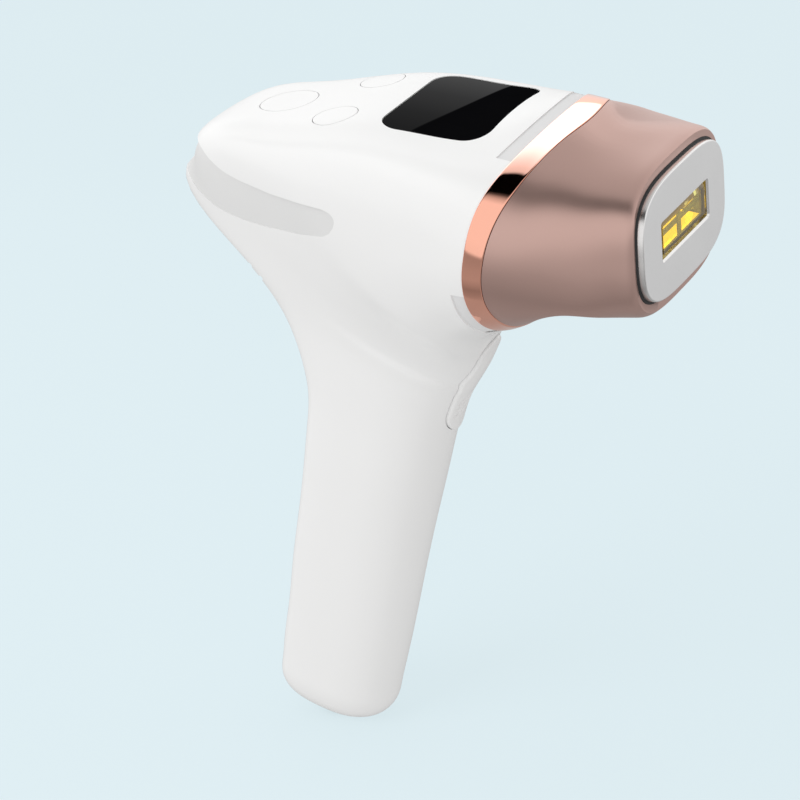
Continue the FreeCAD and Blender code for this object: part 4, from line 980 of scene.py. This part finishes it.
# ------------------------------------------------------------------ display glass and trigger
def cap_on_skin(origin, u_axis, v_axis, out, outline, rings, thickness, fillet, lift,
                height=lambda u, v: 0.0):
    """Cap whose top and bottom follow the skin; outline(inset) gives its (u, v) points."""
    origin, u_axis, v_axis, out = (np.array(x, float) for x in (origin, u_axis, v_axis, out))

    def foot_and_skin(u, v):
        """Point in the plane of origin, and the height of the skin over it."""
        foot = origin + u_axis * u + v_axis * v
        hit = REF_TREE.ray_cast(Vector(foot + out * 60), Vector(-out))[0]
        return foot, (np.array(hit) - foot) @ out

    # (points, drop) from the outer edge over the fillet and on to the middle
    loops = []
    for k in range(6, -1, -1):
        angle = math.pi / 2 * k / 6
        inset = max(fillet * (1 - math.sin(angle)), 0)
        loops.append((outline(inset), -fillet * (1 - math.cos(angle))))
    inner = outline(fillet)
    for k in range(1, rings + 1):
        scale = max(1 - k / rings, 0.004)
        loops.append(([(u * scale, v * scale) for u, v in inner], 0.0))

    top = []
    for points, drop in loops:
        row = []
        for u, v in points:
            foot, skin = foot_and_skin(u, v)
            row.append(foot + out * (skin + (lift + drop + height(u, v))))
        top.append(row)
    bottom = []
    for points, _ in [loops[-1]] + loops[-2:6:-3] + [loops[0]]:
        row = []
        for u, v in points:
            foot, skin = foot_and_skin(u, v)
            row.append(foot + out * (skin + lift - thickness))
        bottom.append(row)
    return loft(bottom + top)


display_x = (DISPLAY_X0 + DISPLAY_X1) / 2


def lens_outline(inset):
    return [(x - display_x, y) for x, y in display_outline(inset, DISPLAY_CORNER - inset, 18)]


lens = cap_on_skin((display_x, 0, 0), (1, 0, 0), (0, 1, 0), (0, 0, 1),
                   densify(lens_outline, 0.8), rings=22, thickness=1.6, fillet=0.35, lift=-0.10)
piece("lens_display", lens, "housing", "display_lens", MAT["black_glass"], 40, skin_match=0.85)

# Three slanting grooves below the middle of the trigger
GROOVE_COUNT, GROOVE_FIRST, GROOVE_PITCH = 3, -9.2, 2.3
GROOVE_DEPTH, GROOVE_HALF_WIDTH = 0.55, 0.42
GROOVE_SLANT = (0.86, 0.32)
GROOVE_HALF_LENGTH, GROOVE_FADE = 3.6, 0.5


def groove_height(u, v):
    height = 0.0
    for k in range(GROOVE_COUNT):
        middle = GROOVE_FIRST + GROOVE_PITCH * k
        across = (u - middle) * GROOVE_SLANT[0] - v * GROOVE_SLANT[1]
        fade = 1
        if abs(v) >= GROOVE_HALF_LENGTH:
            fade = math.exp(-((abs(v) - GROOVE_HALF_LENGTH) / GROOVE_FADE) ** 2)
        height -= GROOVE_DEPTH * math.exp(-(across / GROOVE_HALF_WIDTH) ** 2) * fade
    return height


def trigger_outline(inset):
    return stadium(TRIGGER_HALF_LENGTH - inset, TRIGGER_HALF_WIDTH - inset, 40)


trigger = cap_on_skin(TRIGGER_CENTRE, TRIGGER_UP, LEFT, TRIGGER_OUT,
                      densify(trigger_outline, 0.5), rings=46, thickness=3.2, fillet=0.6,
                      lift=0.9, height=groove_height)
piece("trigger_cap", trigger, "flash_trigger", "flash_trigger", MAT["white_body"], 40,
      skin_match=SKIN_MATCH)

# ------------------------------------------------------------------ polished ring
RING_PROUD, RING_FILLET, RING_CROWN = 0.25, 0.30, 0.06
RING_DEPTH = WALL - 0.05
RING_GAP = 0.02
RING_STEPS = 14         # parts of the crowned face between the fillets


def edge_crossing(grid, edge, shift):
    """Fractional row at which each line of the grid crosses a ring edge."""
    edge_x, tilt, swept = edge
    slope, curve = math.tan(math.radians(tilt)), swept / RING_HALF_WIDTH ** 2
    ahead = grid[..., 0] - (edge_x + shift + slope * grid[..., 2] - curve * grid[..., 1] ** 2)
    rows = []
    for j in range(grid.shape[1]):
        i = int(np.argmax(ahead[:, j] > 0))
        rows.append(i - 1 + ahead[i - 1, j] / (ahead[i - 1, j] - ahead[i, j]))
    return np.array(rows)


def points_at(grid, rows):
    i = np.clip(rows.astype(int), 0, len(grid) - 2)
    part = (rows - i)[:, None]
    j = np.arange(grid.shape[1])
    return grid[i, j] * (1 - part) + grid[i + 1, j] * part


def polished_ring():
    """Closed band around the head: inner edge, fillet, crowned face, fillet, inner edge."""
    skin, above = (skin_grid(offset, first=FROM_RING, step=0.9, count=320)
                   for offset in (0.0, 1.0))
    back = edge_crossing(skin, RING_BACK, RING_GAP)
    front = edge_crossing(skin, RING_FRONT, -RING_GAP)
    width = np.linalg.norm(points_at(skin, back) - points_at(skin, front), axis=1)
    fillet = [(RING_FILLET * (1 - math.cos(t)), RING_PROUD - RING_FILLET + RING_FILLET * math.sin(t))
              for t in np.linspace(0, math.pi / 2, 6)]
    profile = [(back + (front - back) * (inset / width), height)
               for inset, height in [(0.0, -RING_DEPTH)] + fillet]
    for k in range(1, RING_STEPS):
        q = k / RING_STEPS
        start, end = RING_FILLET / width, 1 - RING_FILLET / width
        profile.append((back + (front - back) * (start + (end - start) * q),
                        RING_PROUD + RING_CROWN * 4 * q * (1 - q)))
    profile += [(front + (front - back) * (-inset / width), height)
                for inset, height in fillet[::-1] + [(0.0, -RING_DEPTH)]]
    loops = []
    for rows, height in profile:
        base = points_at(skin, rows)
        normal = points_at(above, rows) - base
        normal /= np.maximum(np.linalg.norm(normal, axis=1), 1e-9)[:, None]
        loops.append(base + normal * height)
    m, n = len(loops), skin.shape[1]
    i, j = np.arange(m)[:, None], np.arange(n)[None]

    def index(p, q):
        return (p % m) * n + (q % n)
    faces = np.stack([index(i, j), index(i, j + 1), index(i + 1, j + 1), index(i + 1, j)], -1)
    return poly_mesh(np.array(loops).reshape(-1, 3), faces.reshape(-1, 4).tolist())


piece("ring_polished", polished_ring(), "housing", "head_ring", MAT["rose_ring"], 60)

# ------------------------------------------------------------------ lamp head
PLATE_HALF_Y, PLATE_HALF_Z, PLATE_POWER = 26.6, 15.8, 3.4
PLATE_BACK, PLATE_EDGE = -4.0, 0.55     # x of its back, rounding of its front edge
SOCKET_GAP = 0.7
WINDOW_HALF_Y, WINDOW_HALF_Z = 15.0, 4.85
WINDOW_GAP, WINDOW_CORNER = 0.02, 0.5
GLASS_FRONT, GLASS_BEVEL, GLASS_CORNER = -0.35, 1.1, 0.45


def plug(half_y, half_z, x0, x1):
    return prism(superellipse(half_y, half_z, PLATE_POWER, 200), x0, x1, 0)


def plate_loft(rings):
    """Closed solid from superellipse rings (x, half y, half z)."""
    return loft([np.insert(superellipse(half_y, half_z, PLATE_POWER, 220), 0, x, axis=1)
                 for x, half_y, half_z in rings])


def window_outline(grow, corner, steps):
    half_y, half_z = WINDOW_HALF_Y + grow, WINDOW_HALF_Z + grow
    return rounded_rect(-half_y, half_y, -half_z, half_z, corner, steps)


def window_loft(rings, corner, steps):
    """Closed solid from window-shaped rings (x, grow, added corner radius)."""
    return loft([[(x, y, z) for y, z in window_outline(grow, corner + more, steps)]
                 for x, grow, more in rings])


def head_shell():
    """Hollow head with an opening for the plate and a ledge around it."""
    shell = overlap(shell_skin(0.0, -WALL, first=FROM_HEAD, step=1.1, count=200),
                    ahead_of(RING_FRONT, 0.10))
    socket = plug(PLATE_HALF_Y + SOCKET_GAP, PLATE_HALF_Z + SOCKET_GAP, -5.4, 6.0)
    ledge = cut(plug(28.6, 17.6, -6.8, -4.6), plug(24.5, 13.6, -10, 0), socket)
    ledge = overlap(ledge, solid_skin(-WALL + 0.2, first=FROM_HEAD))
    return fuse(cut(shell, socket), ledge)


def cold_plate():
    rings = [(PLATE_BACK, PLATE_HALF_Y, PLATE_HALF_Z), (-PLATE_EDGE, PLATE_HALF_Y, PLATE_HALF_Z)]
    for t in np.linspace(0.15, math.pi / 2, 7):
        inset = PLATE_EDGE * (1 - math.cos(t))
        rings.append((-PLATE_EDGE + PLATE_EDGE * math.sin(t),
                      PLATE_HALF_Y - inset, PLATE_HALF_Z - inset))
    hole = prism(window_outline(WINDOW_GAP, WINDOW_CORNER, 6), -6, 3, 0)
    chamfer = window_loft([(-0.5, WINDOW_GAP, 0.0), (0.3, WINDOW_GAP + 0.8, 0.8)],
                          WINDOW_CORNER, 6)
    return cut(plate_loft(rings), hole, chamfer)


def plate_gasket():
    outer = plate_loft([(x, PLATE_HALF_Y + grow, PLATE_HALF_Z + grow)
                        for x, grow in ((-4.6, 0.66), (-2.0, 0.66), (-1.7, 0.45))])
    return cut(outer, plug(PLATE_HALF_Y + 0.01, PLATE_HALF_Z + 0.01, PLATE_BACK, 1.0),
               plug(24.6, 13.7, -9, 0))


piece("shell_head", head_shell(), "lamp_head", "head_shell", MAT["rose_shell"], 28,
      skin_match=0.75)

plate = piece("plate_cold", cold_plate(), "lamp_head", "cold_plate", MAT["plate_face"], 25)
plate.data.materials.append(MAT["plate_side"])
for polygon in plate.data.polygons:
    polygon.material_index = 0 if polygon.normal.x > 0.93 else 1

piece("gasket_plate", plate_gasket(), "lamp_head", "plate_gasket", MAT["gasket_black"])

glass = window_loft([(PLATE_BACK, 0.0, 0.0), (GLASS_FRONT - GLASS_BEVEL, 0.0, 0.0),
                     (GLASS_FRONT, -GLASS_BEVEL * 1.15, 0.0)], GLASS_CORNER, 5)
piece("glass_filter", glass, "lamp_head", "filter_glass", MAT["amber_glass"], 20)

# Long bar across the window with a short upright block in front of it
lamp_bar = merged([box(-4.85, -4.5, -13.6, 13.6, -0.5, 1.0),
                   box(-4.5, -4.1, -1.3, 0.7, -4.3, 4.3)])
piece("lamp_bar", lamp_bar, "lamp_head", None, MAT["lamp_bar"], 20)

# ------------------------------------------------------------------ finishes of the inner parts
DRESS = [(row[0], row[-1]) for row in INNER]
DRESS += [("reflector_mirror", "reflector"), ("quartz_tube", "flash_lamp"),
          ("seal_grey", "glass_seal")]
for mat_name, nodes in DRESS:
    for node in nodes.split():
        obj = frame["nodes"][node]
        if not obj.material_slots:
            obj.data.materials.append(MAT[mat_name])
        for material_slot in obj.material_slots:
            material_slot.material = MAT[mat_name]

# ------------------------------------------------------------------ floor
scene = bpy.context.scene
FLOOR_COLORS = (0.17, 0.19, 0.20), (0.18, 0.20, 0.21)
FLOOR_GLOW = (0.56, 0.655, 0.685)
FLOOR_GAP = 0.0004          # below the lowest point of the device


def floor_material():
    mat, tree, bsdf = new_material("floor_pale")
    coords = tree.nodes.new("ShaderNodeTexCoord")
    clouds = map_range(tree, noise(tree, coords.outputs["Object"], 3.0), 0, 1)
    tree.links.new(mix_color(tree, clouds, *FLOOR_COLORS), bsdf.inputs["Base Color"])
    bsdf.inputs["Roughness"].default_value = 0.9
    bsdf.inputs["Specular IOR Level"].default_value = 0.0
    emission = tree.nodes.new("ShaderNodeEmission")
    emission.inputs["Strength"].default_value = 1.0
    tree.links.new(mix_color(tree, clouds, FLOOR_GLOW, FLOOR_GLOW), emission.inputs["Color"])
    add = tree.nodes.new("ShaderNodeAddShader")
    tree.links.new(bsdf.outputs[0], add.inputs[0])
    tree.links.new(emission.outputs[0], add.inputs[1])
    tree.links.new(add.outputs[0], node_of_type(tree, "OUTPUT_MATERIAL").inputs[0])
    return mat


def add_floor():
    lowest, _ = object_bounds()
    bm = bmesh.new()
    bmesh.ops.create_grid(bm, x_segments=8, y_segments=8, size=4.0)
    mesh = bpy.data.meshes.new("floor")
    bm.to_mesh(mesh)
    bm.free()
    floor = bpy.data.objects.new("floor", mesh)
    floor.location = (-0.08, 0, float(lowest[2]) - FLOOR_GAP)
    scene.collection.objects.link(floor)
    floor.visible_glossy = False
    floor.visible_diffuse = False
    mesh.materials.append(floor_material())


add_floor()

# ------------------------------------------------------------------ studio light
SKY_DIFFUSE, SKY_GLOSSY = 0.86, 1.0
SIDE_EDGE = (-0.33, -0.27)      # direction y over which the -Y sky gives way to the other
# Sky seen in reflections. On the -Y side: height over sideways distance, grey
SLOPE_LIMIT = 3.0
SKY_FRONT = [
    (-3.0, 0.40), (-1.6, 0.27), (-1.0, 0.43), (-0.66, 0.41), (-0.43, 0.36), (-0.38, 0.95),
    (-0.2, 1.0), (0.67, 1.0), (0.85, 0.6), (1.0, 0.08), (1.1, 0.0), (3.0, 0.0)]
# On the rest: height, grey
SKY_BACK = [
    (-1.0, 0.45), (-0.90, 0.42), (-0.40, 0.5), (-0.10, 0.9), (0.33, 1.25), (0.49, 1.0),
    (0.67, 0.78), (0.90, 0.62), (1.0, 0.60)]


def build_world():
    """Even white sky for diffuse light, graded sky for reflections."""
    world = bpy.data.worlds.new("studio")
    scene.world = world
    world.use_nodes = True
    tree = world.node_tree
    tree.nodes.clear()
    output = tree.nodes.new("ShaderNodeOutputWorld")
    xyz = split_coords(tree, "Generated")
    height = map_range(tree, xyz["Z"], 0, 1, -1, 1)
    sideways = math_node(tree, "MAXIMUM", math_node(tree, "ABSOLUTE", xyz["Y"]), 0.02)
    slope = math_node(tree, "DIVIDE", xyz["Z"], sideways)
    slope = math_node(tree, "DIVIDE", math_node(tree, "ADD", slope, SLOPE_LIMIT),
                      2 * SLOPE_LIMIT, clamp=True)
    side = map_range(tree, xyz["Y"], 0, 1, *SIDE_EDGE, curve="SMOOTHSTEP")

    def sky(factor, stops, limit):
        return color_ramp(tree, factor, [((value + limit) / (2 * limit), (grey,) * 3)
                                         for value, grey in stops])
    graded = mix_color(tree, side, sky(slope, SKY_FRONT, SLOPE_LIMIT),
                       sky(height, SKY_BACK, 1.0))
    glossy = tree.nodes.new("ShaderNodeBackground")
    glossy.inputs["Strength"].default_value = SKY_GLOSSY
    tree.links.new(graded, glossy.inputs["Color"])
    diffuse = tree.nodes.new("ShaderNodeBackground")
    diffuse.inputs["Color"].default_value = (1.0, 1.0, 1.0, 1)
    diffuse.inputs["Strength"].default_value = SKY_DIFFUSE
    path = tree.nodes.new("ShaderNodeLightPath")
    mix = tree.nodes.new("ShaderNodeMixShader")
    tree.links.new(path.outputs["Is Glossy Ray"], mix.inputs[0])
    tree.links.new(diffuse.outputs[0], mix.inputs[1])
    tree.links.new(glossy.outputs[0], mix.inputs[2])
    tree.links.new(mix.outputs[0], output.inputs[0])


def area_light(name, location, target, size, power):
    """Square white area light that reflections don't show."""
    light = bpy.data.lights.new(name, "AREA")
    light.shape = "RECTANGLE"
    light.size = light.size_y = size
    light.energy = power
    obj = bpy.data.objects.new(name, light)
    obj.location = location
    aim = Vector(target) - Vector(location)
    obj.rotation_euler = aim.to_track_quat("-Z", "Y").to_euler()
    obj.visible_glossy = False
    scene.collection.objects.link(obj)


build_world()
area_light("key", location=(-0.60, -0.80, 0.55), target=(-0.07, 0, -0.03), size=0.8, power=3.5)
area_light("top", location=(-0.20, 0.10, 1.1), target=(-0.07, 0, 0), size=0.9, power=1.0)

# ------------------------------------------------------------------ camera
CAMERA_PLACE = (0.25186, -0.59441, 0.26909)
AZIMUTH, ELEVATION, ROLL = (math.radians(a) for a in (29.6226, 25.8627, 5.5557))


def add_camera():
    level = np.array((math.cos(AZIMUTH), math.sin(AZIMUTH), 0))
    backward = np.array((math.sin(AZIMUTH) * math.cos(ELEVATION),
                         -math.cos(AZIMUTH) * math.cos(ELEVATION), math.sin(ELEVATION)))
    upright = np.cross(backward, level)
    right = math.cos(ROLL) * level - math.sin(ROLL) * upright
    up = math.sin(ROLL) * level + math.cos(ROLL) * upright
    camera = bpy.data.cameras.new("cam")
    camera.sensor_width = 36.0
    camera.lens = 126.0
    camera.clip_start, camera.clip_end = 0.01, 20
    matrix = Matrix.Identity(4)
    for column, axis in enumerate((right, up, backward, CAMERA_PLACE)):
        for row in range(3):
            matrix[row][column] = float(axis[row])
    obj = bpy.data.objects.new("cam", camera)
    obj.matrix_world = matrix
    scene.collection.objects.link(obj)
    scene.camera = obj


add_camera()
scene.view_settings.view_transform = "Standard"
scene.view_settings.look = "None"
scene.view_settings.exposure = 0.0
scene.view_settings.gamma = 1.0
